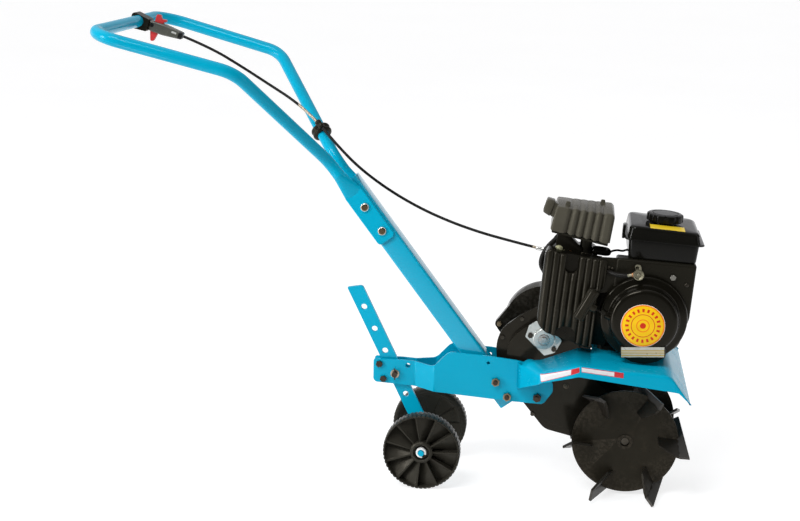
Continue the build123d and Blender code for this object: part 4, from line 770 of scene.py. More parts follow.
# ------------------------------------------------------------------ fluted cowl beside the cylinder
def cowl_piece():
    lo = rounded([(-214, -20), (-209, -42, 14), (-191, -59, 14), (-149, -72, 30), (-94, -84)], 6, False)
    lx, lz = [p[0] for p in lo], [p[1] for p in lo]
    bm = bmesh.new()

    def column(x, xw, zl, zt, g, dd, notch=True):
        yf, yk = -102.0 + g + dd, -64.0
        zl, zt = zl + dd * 0.8, zt - dd
        R = 5.0
        col = [(yk, zl)]
        za = None
        if notch and abs(x + 149) < 20.9:
            za = -62 + math.sqrt(21.0 ** 2 - (x + 149) ** 2)
        if za is not None and za > zl + 1.5:
            col += [(-90.5, zl), (-90.5, (zl + za) / 2), (-90.5, za - 0.3), (-95, za), (yf + 0.6, za + 0.1), (yf, za + 0.9)]
            z0 = za + 0.9
        else:
            col += [(yf + R - R * math.sin(math.pi / 2 * q / 5), zl + R - R * math.cos(math.pi / 2 * q / 5)) for q in range(6)]
            z0 = zl + R
        zn = None
        if notch and abs(x + 154) < 12.9:
            zn = 84 - math.sqrt(13.0 ** 2 - (x + 154) ** 2)
        z1 = zn - 0.9 if zn is not None else zt - R
        for q in range(1, 4):
            col.append((yf, z0 + (z1 - z0) * q / 4))
        if zn is not None:
            col += [(yf, zn - 0.9), (yf + 0.6, zn - 0.1), (-95, zn), (-90.5, zn + 0.3), (-90.5, (zn + zt) / 2), (-90.5, zt)]
        else:
            col += [(yf + R - R * math.cos(math.pi / 2 * q / 5), zt - R + R * math.sin(math.pi / 2 * q / 5)) for q in range(6)]
        col.append((yk, zt))
        return [E(xw + (z - 45.0) * 0.0203, y, z) for y, z in col]

    xs = [-210.4, -210.0, -209.2, -208.0, -206.4, -204.4, -202.0]
    xs += list(np.arange(-200.0, -94.0, 0.95))
    xs += [-170.2, -169.8, -128.2, -127.8, -167.1, -166.8, -141.2, -140.9]
    xs = sorted(set(round(float(x), 2) for x in xs if x <= -94.6)) + [-94.0]
    rings = []
    for x in xs:
        t = ((x + 205.65) / 13.3) % 1.0
        w = abs(2 * t - 1)
        g = 3.7 * w ** 2.1 if x > -205.65 else 3.7 * min(1.0, 0.25 + 0.0)
        if x < -199:
            k = max(0.0, min(1.0, (x + 205.65) / 6.65))
            g = 2.2 * (1 - k) ** 1.5
        s = x + 210.5
        dd = 9.0 * (1 - math.sqrt(max(0.0, 1 - ((9.0 - s) / 9.0) ** 2))) if s < 9.0 else 0.0
        zl = float(np.interp(x, lx, lz))
        zt = float(np.interp(x, (-210.0, -205.0, -195.0, -182.0, -150.0, -82.0), (112.0, 117.0, 116.2, 110.6, 109.0, 104.6)))
        rings.append(column(x, x, zl, zt, g, dd))
    loft(bm, rings)
    # right-hand edge, which stops short above the starter
    rings = []
    for x in (-95.5, -94.0, -92.0, -90.2, -88.6, -87.0, -85.4, -84.0, -83.0, -82.3):
        t = ((x + 205.65) / 13.3) % 1.0
        g = 3.7 * abs(2 * t - 1) ** 2.1
        s = -82.0 - x
        dd = 5.0 * (1 - math.sqrt(max(0.0, 1 - ((5.0 - s) / 5.0) ** 2))) if s < 5.0 else 0.0
        zl = 37.0 + max(0.0, x + 94.0) * 1.25
        zt = float(np.interp(x, (-210.0, -205.0, -195.0, -182.0, -150.0, -82.0), (112.0, 117.0, 116.2, 110.6, 109.0, 104.6)))
        yk = -97.0
        yf = -102.0 + g + dd
        R = 1.8
        zl2, zt2 = zl + dd, zt - dd
        col = [(yk, zl2)] + [(yf + R - R * math.sin(math.pi / 2 * q / 3), zl2 + R - R * math.cos(math.pi / 2 * q / 3)) for q in range(4)]
        col += [(yf, zl2 + R + (zt2 - zl2 - 2 * R) * q / 4) for q in range(1, 4)]
        col += [(yf + R - R * math.cos(math.pi / 2 * q / 3), zt2 - R + R * math.sin(math.pi / 2 * q / 3)) for q in range(4)] + [(yk, zt2)]
        rings.append([E(x + (z - 45.0) * 0.0203, min(y, yk), z) for y, z in col])
    loft(bm, rings)
    return from_bm("cowl_fluted", bm, 42.0)


piece(cowl_piece(), "chassis", "grey_plastic", "cowl", "cylinder_cowl")


# ------------------------------------------------------------------ fuel tank
def tank_piece():
    bm = bmesh.new()

    def sec(x0, x1, y0, y1, rr, za, zb):
        return [E(x, y, za + (zb - za) * (x + 54) / 160.0) for x, y in rounded([(x0, y0, rr), (x1, y0, rr), (x1, y1, rr), (x0, y1, rr)], 9, True)]
    rg = [sec(-38.0, 91, -83.0, 58, 8, 112.4, 112.4), sec(-40.6, 94, -86.0, 61, 10, 113.4, 113.4), sec(-41.6, 95.6, -87.2, 62.2, 11, 116.5, 116.5), sec(-43.8, 97.8, -87.6, 62.6, 11, 150.4, 150.4),
          sec(-51.2, 107.2, -90.7, 71.2, 12, 150.7, 150.7), sec(-52, 108, -91.5, 72, 12.5, 151.4, 151.4), sec(-52, 108, -91.5, 72, 12.5, 152.9, 152.9), sec(-51.2, 107.2, -90.7, 71.2, 12, 153.6, 153.6),
          sec(-46.5, 100.5, -89.3, 66.3, 11, 153.9, 153.9), sec(-45.6, 98.8, -88.4, 65.4, 12, 163.0, 160.6), sec(-44.5, 97, -87.5, 64.5, 13, 172.6, 168.2)]
    for q in range(1, 8):
        f = math.pi / 2 * q / 7
        i, z = 6.5 * (1 - math.cos(f)), 8.2 * math.sin(f)
        rg.append(sec(-44.5 + i, 97 - i * 1.7, -87.5 + i, 64.5 - i, 12.5, 172.6 + z, 168.2 + z))
    rg.append(sec(-20, 66, -60, 35, 12, 181.9, 177.0))
    loft(bm, rg)
    # neck under the cap
    turned(bm, E(27.5, -17, 178.5), ENG.to_3x3() @ Vector((0, 0, 1)), [(0.0250, 0.0), (0.0248, 0.0035), (0.0235, 0.0045), (0.0205, 0.005), (0.0205, 0.0102), (0.019, 0.0105)], 48)
    # upright lug at the left end of the seam
    ring = []
    for inset, x in ((1.0, -57.0), (0.0, -56.2), (0.0, -52.3), (1.0, -51.5)):
        ring.append([E(x, y, z) for y, z in rounded([(-62 + inset, 147, 1), (-34 - inset, 147, 1), (-36 - inset, 174 - inset, 5), (-60 + inset, 174 - inset, 5)], 4, True)])
    loft(bm, ring)
    return from_bm("tank_shell", bm, 50.0)


piece(tank_piece(), "chassis", "tank_black", "tank", "fuel_tank")


def tank_strip():
    """Plain yellow sticker along the front of the tank's top."""
    bm = bmesh.new()
    nx, ny = 28, 12

    def pt(a, b, up):
        x = -4.0 + 70.0 * a
        y = (-84.0 + 1.5 * a) * (1 - b) + (-55.0 + 8.0 * a) * b
        k = (x + 54) / 160.0
        if y < -81.0:
            f = math.acos(max(-1.0, min(1.0, 1 - (y + 87.5) / 6.5)))
            z = 172.6 - 4.4 * k + 8.2 * math.sin(f)
        else:
            t = min(1.0, (y + 81.0) / 21.0)
            z = (180.8 - 4.4 * k) * (1 - t) + (181.9 - 4.9 * k) * t
        return E(x, y, z + up)
    top = [[bm.verts.new(pt(i / nx, j / ny, 0.45)) for j in range(ny + 1)] for i in range(nx + 1)]
    low = [[bm.verts.new(pt(i / nx, j / ny, -0.3)) for j in range(ny + 1)] for i in range(nx + 1)]
    for i in range(nx):
        for j in range(ny):
            bm.faces.new((top[i][j], top[i + 1][j], top[i + 1][j + 1], top[i][j + 1]))
            bm.faces.new((low[i][j + 1], low[i + 1][j + 1], low[i + 1][j], low[i][j]))
        bm.faces.new((low[i][0], low[i + 1][0], top[i + 1][0], top[i][0]))
        bm.faces.new((top[i][ny], top[i + 1][ny], low[i + 1][ny], low[i][ny]))
    for j in range(ny):
        bm.faces.new((top[0][j], top[0][j + 1], low[0][j + 1], low[0][j]))
        bm.faces.new((low[nx][j], low[nx][j + 1], top[nx][j + 1], top[nx][j]))
    return from_bm("tank_sticker", bm, 40.0)


piece(tank_strip(), "chassis", "pale_plastic", surface("yellow_print", (0.80, 0.56, 0.02), rough=0.34, vary=0.06, grain=900.0, grain_h=0.00001, cloud=50.0, rough_var=0.05, spec=0.35))


def cap_piece():
    bm = bmesh.new()
    n = 10
    seg = n * 24
    ax = ENG.to_3x3() @ Vector((0, 0, 1))
    base = E(27.5, -17, 182.6)
    x, y, z = (ENG.to_3x3() @ Vector((1, 0, 0))), Vector((0, 1, 0)), ax

    def ring(rad, h, grip):
        out = []
        for i in range(seg):
            a = 2 * math.pi * i / seg
            w = 0.5 + 0.5 * math.cos(n * a)
            rr = rad - grip * (1 - w) ** 5.0
            out.append(base + z * h + (x * math.cos(a) + y * math.sin(a)) * rr)
        return out
    rg = [ring(0.0220, 0.0045, 0), ring(0.0345, 0.0005, 0.0), ring(0.0362, 0.0008, 0.0016), ring(0.0374, 0.0022, 0.0026), ring(0.0375, 0.0128, 0.0026), ring(0.0366, 0.0152, 0.0018),
          ring(0.0340, 0.0166, 0.0), ring(0.0285, 0.0170, 0), ring(0.0272, 0.0158, 0), ring(0.0258, 0.0156, 0), ring(0.0246, 0.0168, 0), ring(0.010, 0.0169, 0), ring(0.0005, 0.0169, 0)]
    loft(bm, rg)
    return from_bm("cap_knurled", bm, 38.0)


piece(cap_piece(), "cap", "tank_black", "tank", "fuel_cap")


# ------------------------------------------------------------------ transport wheels
def wheel_piece(name, side):
    bm = bmesh.new()
    cx, cz = -436.37, 82.0
    yi, yo = 75.0, 107.0
    fr = set()
    for k in range(5):
        for e in (0.0, 0.09, 0.52, 0.61):
            fr.add(round((k + e) / 5, 4))
    for e in (0.0, 0.06, 0.075, 0.10, 0.2, 0.35, 0.5, 0.65, 0.8, 0.9, 0.945, 0.96):
        fr.add(e)
    fr = sorted(fr)

    def pocket(f):
        if f <= 0.062 or f >= 0.955:
            return 0.0
        return 16.0 - 15.2 * (f - 0.07) / 0.88

    def tooth(f):
        t = (f * 5) % 1.0
        return 1.9 if 0.56 < t < 0.98 else 0.0
    cols = []
    for s in range(11):
        for f in fr:
            a = 2 * math.pi * (s + f) / 11
            p, t = pocket(f), tooth(f)
            pi = p * 0.5
            prof = [(6.1, yo - 8), (15.2, yo - 8), (15.9, yo - 7.2), (16.9, yo - 0.6), (17.6, yo), (20.0, yo), (21.0, yo - 0.7), (22.4, yo - 2.3), (23.6, yo - 2.8),
                    (24.5, yo - 2.8 - p), (40, yo - 2.8 - p), (55, yo - 2.8 - p), (76.4, yo - 2.8 - p), (77.2, yo - 2.8), (77.7, yo - 2.2), (78.3, yo - 0.4), (78.8, yo),
                    (80.2 - t * 0.5, yo), (81.3 - t, yo - 0.8), (82.0 - t, yo - 2.6), (82.0 - t * 1.0, yo - 10), (82.0 - t * 0.2, yo - 12), (82.0 - t * 0.2, yi + 12), (82.0 - t, yi + 10),
                    (82.0 - t, yi + 2.6), (81.0 - t, yi + 0.8), (79.4, yi), (73.4, yi), (72.0, yi + 1.0), (70.0, yi + 6.0), (68.5, yi + 7.0), (60, yi + 7.0 + pi * 0.4), (34, yi + 7.0 + pi * 0.4), (24, yi + 7.0), (22.0, yi + 6.0),
                    (20.5, yi + 0.8), (19.5, yi), (6.1, yi)]
            cols.append([L(cx + rr * math.cos(a), side * y, cz + rr * math.sin(a)) for rr, y in prof])
    n = len(cols)
    vs = [[bm.verts.new(p) for p in c] for c in cols]
    for i in range(n):
        a, b = vs[i], vs[(i + 1) % n]
        for q in range(len(a) - 1):
            bm.faces.new((a[q], b[q], b[q + 1], a[q + 1]))
        bm.faces.new((a[-1], b[-1], b[0], a[0]))
    return from_bm(name, bm, 38.0)


piece(wheel_piece("wheel_moulded_right", -1), "transport_wheel_right", "wheel_plastic", "wheel", "wheel_right")
piece(wheel_piece("wheel_moulded_left", 1), "transport_wheel_left", "wheel_plastic", "wheel", "wheel_left")


def hub_caps():
    """Push-on ring with a slot, round the painted axle end."""
    bm = bmesh.new()
    for s in (-1, 1):
        yb = s * 99.6
        rings = []
        for i in range(45):
            a = math.radians(-22 + 304 * i / 44)
            o = []
            for rr, y in ((6.4, yb), (10.6, yb), (11.2, yb + s * 1.0), (11.2, yb + s * 7.0), (10.4, yb + s * 8.6), (7.8, yb + s * 9.0), (6.6, yb + s * 8.0)):
                o.append(L(-436.37 + rr * math.cos(a), y, 82 + rr * math.sin(a)))
            rings.append(o)
        loft(bm, rings)
    return from_bm("axle_rings", bm, 38.0)


piece(hub_caps(), "depth_gauge", "pale_plastic", "pale", "wheel_retainers")


# ------------------------------------------------------------------ starter grip and rope
PULL = Vector((-0.9119, 0.0, 0.4104))


def pull_pt(dv):
    return (-72.0 + PULL.x * dv, -121.0, -3.0 + PULL.z * dv)


def grip_piece():
    bm = bmesh.new()
    gc = Vector((-115.5, -121.0, 15.6))
    ax = Vector((-PULL.z, 0, PULL.x))
    wv = PULL.copy()
    seg = 96
    rings = []
    prof = [(-35, 0.55), (-34.6, 0.78), (-33.4, 0.90), (-31.6, 0.965), (-28, 0.99), (-20, 0.965), (-10, 0.955), (0, 0.975), (10, 0.955), (20, 0.965), (28, 0.99), (31.6, 0.965), (33.4, 0.90), (34.6, 0.78), (35, 0.55)]
    for h, k in prof:
        rg = []
        for i in range(seg):
            a = 2 * math.pi * i / seg
            ca, sa = math.cos(a), math.sin(a)
            x = 12.4 * math.copysign(abs(ca) ** 0.62, ca)
            y = 9.0 * math.copysign(abs(sa) ** 0.62, sa)
            if abs(y) > 5.6 and abs(h) < 32.0:
                y -= math.copysign(1.1 * (0.5 - 0.5 * math.cos(2 * math.pi * (x + 10.4) / 5.2)), y)
            p = gc + ax * h + wv * (x * k) + Vector((0, 1, 0)) * (y * k)
            rg.append(E(*p))
        rings.append(rg)
    loft(bm, rings)
    # stem towards the starter
    rings = []
    for dv, rx, ry in ((44, 9.5, 7.0), (37, 9.2, 7.0), (34, 8.6, 6.8), (31, 8.2, 6.8), (27, 8.0, 6.8), (25.6, 7.2, 6.0), (25.2, 4.0, 3.6)):
        c0 = Vector(pull_pt(dv))
        rg = []
        for i in range(32):
            a = 2 * math.pi * i / 32
            ca, sa = math.cos(a), math.sin(a)
            p = c0 + ax * (rx * math.copysign(abs(ca) ** 0.8, ca)) + Vector((0, 1, 0)) * (ry * math.copysign(abs(sa) ** 0.8, sa))
            rg.append(E(*p))
        rings.append(rg)
    loft(bm, rings)
    return from_bm("grip_ribbed", bm, 45.0)


piece(grip_piece(), "grip", "black_plastic", "cowl", "starter_grip")


def rope_piece():
    bm = bmesh.new()
    rings = []
    n = 60
    ax = Vector((-PULL.z, 0, PULL.x))
    for i in range(n + 1):
        dv = -10 + 52.0 * i / n
        c0 = Vector(pull_pt(dv))
        rg = []
        for k in range(24):
            a = 2 * math.pi * k / 24
            rr = 1.75 + 0.25 * math.cos(3 * a + dv * 0.9)
            rg.append(E(*(c0 + ax * (rr * math.cos(a)) + Vector((0, 1, 0)) * (rr * math.sin(a)))))
        rings.append(rg)
    loft(bm, rings)
    o = from_bm("rope_laid", bm, 60.0)
    o.data.materials.append(M["rope"])
    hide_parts("starter_rope")
    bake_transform(o)
    return o


rope_piece()


# ------------------------------------------------------------------ square mast tube with rounded corners
def mast_piece():
    bm = bmesh.new()

    def ring(t, half, rr):
        return [L(*on_mast(t, y, n)) for y, n in rounded([(-half, -half, rr), (half, -half, rr), (half, half, rr), (-half, half, rr)], 7, True)]
    rg = [ring(-299.0, 19.5, 3.0), ring(-299.0, 22.0, 5.0), ring(-298.5, 22.5, 5.2)] + [ring(-298.5 + 588.0 * k / 12, 22.5, 5.2) for k in range(1, 12)]
    rg += [ring(289.5, 22.5, 5.2), ring(290.0, 22.0, 5.0), ring(290.0, 19.5, 3.0), ring(285.0, 19.5, 3.0), ring(-294.0, 19.5, 3.0)]
    loft(bm, rg + rg[:1], True, False, False)
    bmesh.ops.remove_doubles(bm, verts=bm.verts, dist=1e-6)
    return from_bm("mast_square", bm, 35.0)


piece(mast_piece(), "chassis", "blue_paint", "mast", "mast_tube")


# ------------------------------------------------------------------ starter cover with its steps, and the rope guide
def recoil_piece():
    bm = bmesh.new()
    prof = [(0.05, 139.0), (30, 139.0), (57.5, 139.0), (60.5, 138.7), (63.2, 137.9), (65.4, 136.6), (67.0, 134.8), (68.0, 132.4), (68.6, 129.0), (69.6, 121.5), (70.4, 117.4), (71.0, 115.4), (72.1, 113.8), (73.8, 112.7),
            (76.5, 111.9), (80.5, 110.9), (84.0, 109.9), (86.0, 108.9), (87.3, 107.3), (88.0, 105.0), (88.4, 101.0), (88.5, 95.2), (85.5, 95.2), (85.4, 104.0), (83, 106.8), (74, 109.5), (69, 113.5), (66.5, 131.0), (63.5, 135.0), (58, 136.5), (30, 136.5), (0.05, 136.5)]
    seg = 144
    rings = []
    for rr, y in prof:
        rings.append([E(3 + rr * math.cos(2 * math.pi * i / seg), -y, -5 + rr * math.sin(2 * math.pi * i / seg)) for i in range(seg)])
    loft(bm, rings, True, True, True)
    ax = Vector((-PULL.z, 0, PULL.x))
    rings = []
    for rr, dv in ((2.7, -13.0), (6.4, -13.0), (6.9, -11.0), (7.0, 1.6), (6.6, 3.2), (5.6, 4.0), (4.2, 3.9), (3.2, 3.0), (2.7, 1.0)):
        c0 = Vector(pull_pt(dv))
        rings.append([E(*(c0 + ax * (rr * math.cos(2 * math.pi * i / 40)) + Vector((0, 1, 0)) * (rr * math.sin(2 * math.pi * i / 40)))) for i in range(40)])
    loft(bm, rings + rings[:1], True, False, False)
    bmesh.ops.remove_doubles(bm, verts=bm.verts, dist=1e-6)
    return from_bm("starter_cover_stepped", bm, 32.0)


piece(recoil_piece(), "chassis", "black_plastic", "starter", "recoil_cover")


def lever_piece():
    """Cock lever: round head with a raised rim, and a tongue with an eye."""
    bm = bmesh.new()
    cx, cz = -18.5, 88.0
    seg = 48
    rings = []
    for rr, y in ((0.05, -118.4), (10.4, -118.4), (11.0, -119.0), (11.0, -123.2), (10.6, -124.0), (9.0, -124.2), (8.4, -123.8), (7.9, -121.8), (7.2, -121.3), (4.4, -121.3), (4.0, -121.7), (3.7, -123.2), (3.1, -123.7), (0.05, -123.7)):
        rings.append([E(cx + rr * math.cos(2 * math.pi * i / seg), y, cz + rr * math.sin(2 * math.pi * i / seg)) for i in range(seg)])
    loft(bm, rings)
    # tongue: outer outline paired with the eye's circle
    out = rounded([(cx - 5.5, cz + 6.4, 0.5), (cx + 5.5, cz + 6.4, 0.5), (cx + 2.5, cz + 21, 5.5), (cx - 11.5, cz + 21, 5.5)], 8, True)
    ex, ez = cx - 4.3, cz + 14.0
    N = 64
    seglen = [math.hypot(out[(i + 1) % len(out)][0] - out[i][0], out[(i + 1) % len(out)][1] - out[i][1]) for i in range(len(out))]
    tot = sum(seglen)
    ring_o = []
    for k in range(N):
        s, i = tot * k / N, 0
        while s > seglen[i]:
            s -= seglen[i]
            i += 1
        p, q = out[i], out[(i + 1) % len(out)]
        f = s / max(seglen[i], 1e-9)
        ring_o.append((p[0] + (q[0] - p[0]) * f, p[1] + (q[1] - p[1]) * f))
    ring_i = [(ex + 3.6 * (px - ex) / math.hypot(px - ex, pz - ez), ez + 3.6 * (pz - ez) / math.hypot(px - ex, pz - ez)) for px, pz in ring_o]

    def at(pts, y, k, o=(ex, ez)):
        return [E(o[0] + (px - o[0]) * k, y, o[1] + (pz - o[1]) * k) for px, pz in pts]
    rings = [at(ring_o, -119.0, 0.96), at(ring_o, -119.4, 1.0), at(ring_o, -122.6, 1.0), at(ring_o, -123.0, 0.96), at(ring_i, -123.0, 1.08), at(ring_i, -122.7, 1.0), at(ring_i, -119.3, 1.0), at(ring_i, -119.0, 1.08)]
    loft(bm, rings + rings[:1], True, False, False)
    bmesh.ops.remove_doubles(bm, verts=bm.verts, dist=1e-6)
    return from_bm("cock_lever_eyed", bm, 35.0)


piece(lever_piece(), "cock", "cast_alloy", "cock", "fuel_cock_lever")


# ------------------------------------------------------------------ clip that ties the cable to the handle tube
def clip_piece():
    bm = bmesh.new()
    t0, hb = Vector(on_mast(345.0, 35.4, -3.0)), Vector((-791.0, 224.0, 892.0))
    td = (hb - t0).normalized()
    ca, cb = Vector(CABLE[5]), Vector(CABLE[6])
    cq = ca + (cb - ca) * 0.14
    c0 = t0 + td * (cq - t0).dot(td)
    prof = [(12.75, -9.4), (15.5, -10.0), (18.2, -9.4), (20.2, -7.6), (21.0, -5.2), (20.4, -2.8), (18.6, -1.0), (18.2, 0.0), (18.6, 1.0), (20.4, 2.8), (21.0, 5.2), (20.2, 7.6), (18.2, 9.4), (15.5, 10.0), (12.75, 9.4)]
    x, y, z = frame_at(c0, td)
    rings = [[L(*(c0 + td * h + (x * math.cos(2 * math.pi * i / 56) + y * math.sin(2 * math.pi * i / 56)) * rr)) for i in range(56)] for rr, h in prof + prof[:1]]
    loft(bm, rings, True, False, False)
    bmesh.ops.remove_doubles(bm, verts=bm.verts, dist=1e-6)
    # saddle that holds the cable
    cd = (cb - ca).normalized()
    x2, y2, z2 = frame_at(cq, cd)
    prof = [(3.15, -8.6), (5.6, -9.0), (6.8, -8.0), (7.2, -5.5), (6.6, -2.0), (6.4, 0.0), (6.6, 2.0), (7.2, 5.5), (6.8, 8.0), (5.6, 9.0), (3.15, 8.6)]
    rings = [[L(*(cq + cd * h + (x2 * math.cos(2 * math.pi * i / 32) + y2 * math.sin(2 * math.pi * i / 32)) * rr)) for i in range(32)] for rr, h in prof + prof[:1]]
    b2 = bmesh.new()
    loft(b2, rings, True, False, False)
    bmesh.ops.remove_doubles(b2, verts=b2.verts, dist=1e-6)
    me = bpy.data.meshes.new("tmp_saddle")
    b2.to_mesh(me)
    b2.free()
    bm.from_mesh(me)
    bpy.data.meshes.remove(me)
    return from_bm("cable_tie", bm, 50.0)


piece(clip_piece(), "chassis", "black_plastic", "black_plastic", "cable_clip")


# ------------------------------------------------------------------ hoses
HOSE_B = [(-177.5, -44, 142), (-189, -44, 128), (-203.5, -43.5, 111), (-213, -42.5, 92), (-216, -41.0, 72), (-208.8, -40, 57), (-195, -40, 47)]
HOSE_F = [(-40.2, -114, 82.0), (-52, -113, 80.6), (-64, -108.5, 81.2), (-74, -100.5, 82.3), (-81, -89, 82.4), (-88, -77.5, 80.8), (-98, -68.5, 78.5)]


def hose(name, route, rad, node):
    bm = bmesh.new()
    tube(bm, spline_points([E(*p) for p in route]), rad, 24)
    return piece(from_bm(name, bm, 40.0), "chassis", "rubber", "rubber", node)


def sleeve_rad(t):
    """Plain hose with a swollen cuff over each spigot."""
    e = min(t, 1 - t)
    return 0.0055 + (0.0011 if e < 0.10 else 0.0011 * max(0.0, 1 - (e - 0.10) / 0.03))


hose("breather_pipe", HOSE_B, sleeve_rad, "breather_hose")
hose("fuel_pipe", HOSE_F, 0.0047, "fuel_hose")


def lathe(name, base, axis, prof, body, slot, mat, seg=36, deg=35.0):
    bm = bmesh.new()
    turned(bm, base, axis, prof, seg)
    return piece(from_bm(name, bm, deg), body, slot, mat)


def bent(name, pts, rad, body, slot, mat, seg=14):
    bm = bmesh.new()
    tube(bm, spline_points(pts), rad, seg)
    return piece(from_bm(name, bm, 45.0), body, slot, mat)


def slab(name, poly, y0, y1, body, slot, mat, edge=1.0, place=E, corner=2.0):
    """Plate cut to a rounded outline, with eased edges."""
    bm = bmesh.new()
    rings = []
    cx = sum(p[0] for p in poly) / len(poly)
    cz = sum(p[1] for p in poly) / len(poly)
    pts = rounded([(p[0], p[1], p[2] if len(p) > 2 else corner) for p in poly], 4, True)

    def shrink(k):
        out = []
        for (px, pz) in pts:
            ln = math.hypot(px - cx, pz - cz)
            out.append((px - (px - cx) / ln * k, pz - (pz - cz) / ln * k))
        return out
    for y, k in ((y0, edge), (y0 + edge * 0.3, edge * 0.3), (y0 + edge, 0.0), (y1 - edge, 0.0), (y1 - edge * 0.3, edge * 0.3), (y1, edge)):
        rings.append([place(px, y, pz) for px, pz in shrink(k)])
    loft(bm, rings)
    return piece(from_bm(name, bm, 40.0), body, slot, mat)


EX, EY, EZ = (ENG.to_3x3() @ Vector(v) for v in ((1, 0, 0), (0, 1, 0), (0, 0, 1)))
CHX = "chassis"
# plated spring clip on the inner hose end
a3 = (ENG.to_3x3() @ Vector((-0.74, 0.66, -0.16))).normalized()
lathe("hose_clip_carb", E(-93.5, -72.3, 79.4) - a3 * 0.0035, a3, [(0.0046, 0.0), (0.0056, 0.0003), (0.0060, 0.001), (0.0056, 0.0018), (0.0054, 0.0024), (0.0056, 0.0032), (0.0060, 0.0046), (0.0056, 0.0058), (0.0046, 0.0062)], CHX, "zinc", "brass", 32)
# hexagon barb between hose and cock
lathe("cock_union", E(-25.5, -114, 86.0), (ENG.to_3x3() @ Vector((-0.963, 0, -0.27))), [(0.0030, 0.0), (0.0042, 0.0002), (0.0046, 0.0008), (0.0046, 0.0052), (0.0043, 0.0060), (0.0036, 0.0064), (0.0036, 0.0088), (0.0032, 0.0094)], CHX, "zinc", "copper", 6, 25.0)

# duct from the air cleaner down to the carburettor, and the parts around it
slab("intake_duct", [(-187, 150, 1.5), (-171, 147.5, 3), (-133, 114, 4), (-139, 100, 2), (-179, 106, 2), (-189, 118, 3)], -57, -30, CHX, "black_plastic", "black_plastic", 1.6)
bm = bmesh.new()
turned(bm, E(-181.5, -61.5, 110.5), EY, [(0.0012, -0.0005), (0.0046, 0.0), (0.0052, 0.0006), (0.0052, 0.0035), (0.0074, 0.004), (0.0078, 0.005), (0.0078, 0.0095), (0.0060, 0.0105), (0.0060, 0.0200)], 28)
turned(bm, E(-176.5, -58.0, 104.8), EX, [(0.0036, 0.0), (0.0042, 0.0004), (0.0042, 0.0080), (0.0030, 0.0085), (0.0030, 0.0200)], 20)
piece(from_bm("idle_fitting", bm, 40.0), CHX, "pale_plastic", "cream")
bm = bmesh.new()
tube(bm, spline_points([E(-160, -60, 107), E(-156, -62, 108), E(-151, -62, 105), E(-147.5, -61, 101), E(-146, -56, 98)]), 0.0016, 10)
turned(bm, E(-158, -63, 106.4), EY, [(0.0015, 0.0), (0.0036, 0.0004), (0.0038, 0.0012), (0.0038, 0.0042), (0.0020, 0.0046), (0.0020, 0.013)], 18)
turned(bm, E(-148, -63, 101.4), EY, [(0.0015, 0.0), (0.0030, 0.0004), (0.0032, 0.0012), (0.0032, 0.0042), (0.0018, 0.0046), (0.0018, 0.012)], 18)
piece(from_bm("throttle_links", bm, 40.0), CHX, "zinc", "copper")
# priming bulb on the carburettor side, and its thin line to the tank
bm = bmesh.new()
rings = []
for i in range(25):
    t = i / 24
    cx, cz = -117 + 43 * t, 111.5 - 2.0 * t
    k = math.sqrt(max(0.0, 1 - (2 * t - 1) ** 4)) * 0.985 + 0.015
    rings.append([E(cx, -42 + 12.5 * k * math.cos(2 * math.pi * q / 28), cz + (10.5 if math.sin(2 * math.pi * q / 28) > 0 else 8.0) * k * math.sin(2 * math.pi * q / 28)) for q in range(28)])
loft(bm, rings)
piece(from_bm("bowl_cover", bm, 60.0), CHX, "tank_black", "tank")
bent("vent_line", [E(-82, -42, 107), E(-74, -42, 113.5), (E(-62, -41, 116.8)), E(-52, -40, 115.2), E(-46, -39, 117.5), E(-38.6, -38, 120)], 0.0022, CHX, "rubber", "rubber", 12)
# plated adjuster at the engine end of the cable
lathe("cable_adjuster", E(-229.5, -30.0, 101.0), (E(-198, -30, 98.5) - E(-229.5, -30.0, 101.0)), [(0.0031, 0.0), (0.0038, 0.0004), (0.0040, 0.0014), (0.0040, 0.011), (0.0033, 0.0116), (0.0033, 0.014), (0.0055, 0.0142), (0.0058, 0.0150), (0.0058, 0.0186), (0.0055, 0.0192), (0.0033, 0.0196), (0.0033, 0.0300)], CHX, "zinc", "washer", 24, 30.0)
# plate behind the starter that closes the gap to the cowl
slab("blower_shield", [(-97, 34, 2), (-62, 40, 2), (-58, 112, 3), (-97, 110, 3)], -93.0, -89.5, CHX, "black_plastic", "black_plastic", 0.8)
slab("lower_shroud", [(-100, -84, 4), (-66, -84, 4), (-60, 40, 3), (-100, 40, 3)], -63.5, -60.0, CHX, "black_plastic", "black_plastic", 0.8)


def screw(name, p, axis, rad, body, mat, place=E, rot=True, flange=None):
    """Pan head screw with a round recess in its top."""
    bm = bmesh.new()
    a3 = (ENG.to_3x3() @ Vector(axis)).normalized() if rot else Vector(axis).normalized()
    pos = place(*p)
    pr = [(rad * 0.9, -0.0006), (rad, 0.0), (rad, rad * 0.22), (rad * 0.93, rad * 0.44), (rad * 0.76, rad * 0.60), (rad * 0.52, rad * 0.68), (rad * 0.34, rad * 0.66), (rad * 0.28, rad * 0.30), (rad * 0.05, rad * 0.22)]
    if flange:
        pr = [(flange * 0.97, -0.0004), (flange, 0.0002), (flange, 0.0010), (flange * 0.95, 0.0013), (rad, 0.0014)] + [(q, h + 0.0014) for q, h in pr[2:]]
    turned(bm, pos, a3, pr, 28)
    return piece(from_bm(name, bm, 35.0), body, "zinc", mat)


screw("housing_screw_a", (81, -95.0, 71), (0, -1, 0), 0.0046, CHX, "dark_steel")
screw("housing_screw_b", (-78, -93.0, 90.5), (0, -1, 0), 0.0030, CHX, "carb")
screw("housing_screw_c", (-70.5, -93.0, 89), (0, -1, 0), 0.0026, CHX, "carb")
# plug in the face of the chain case
screw("case_plug", (-135.2, -20.0, 214.1), (0, -1, 0), 0.0044, CHX, "carb", L, False, 0.0060)


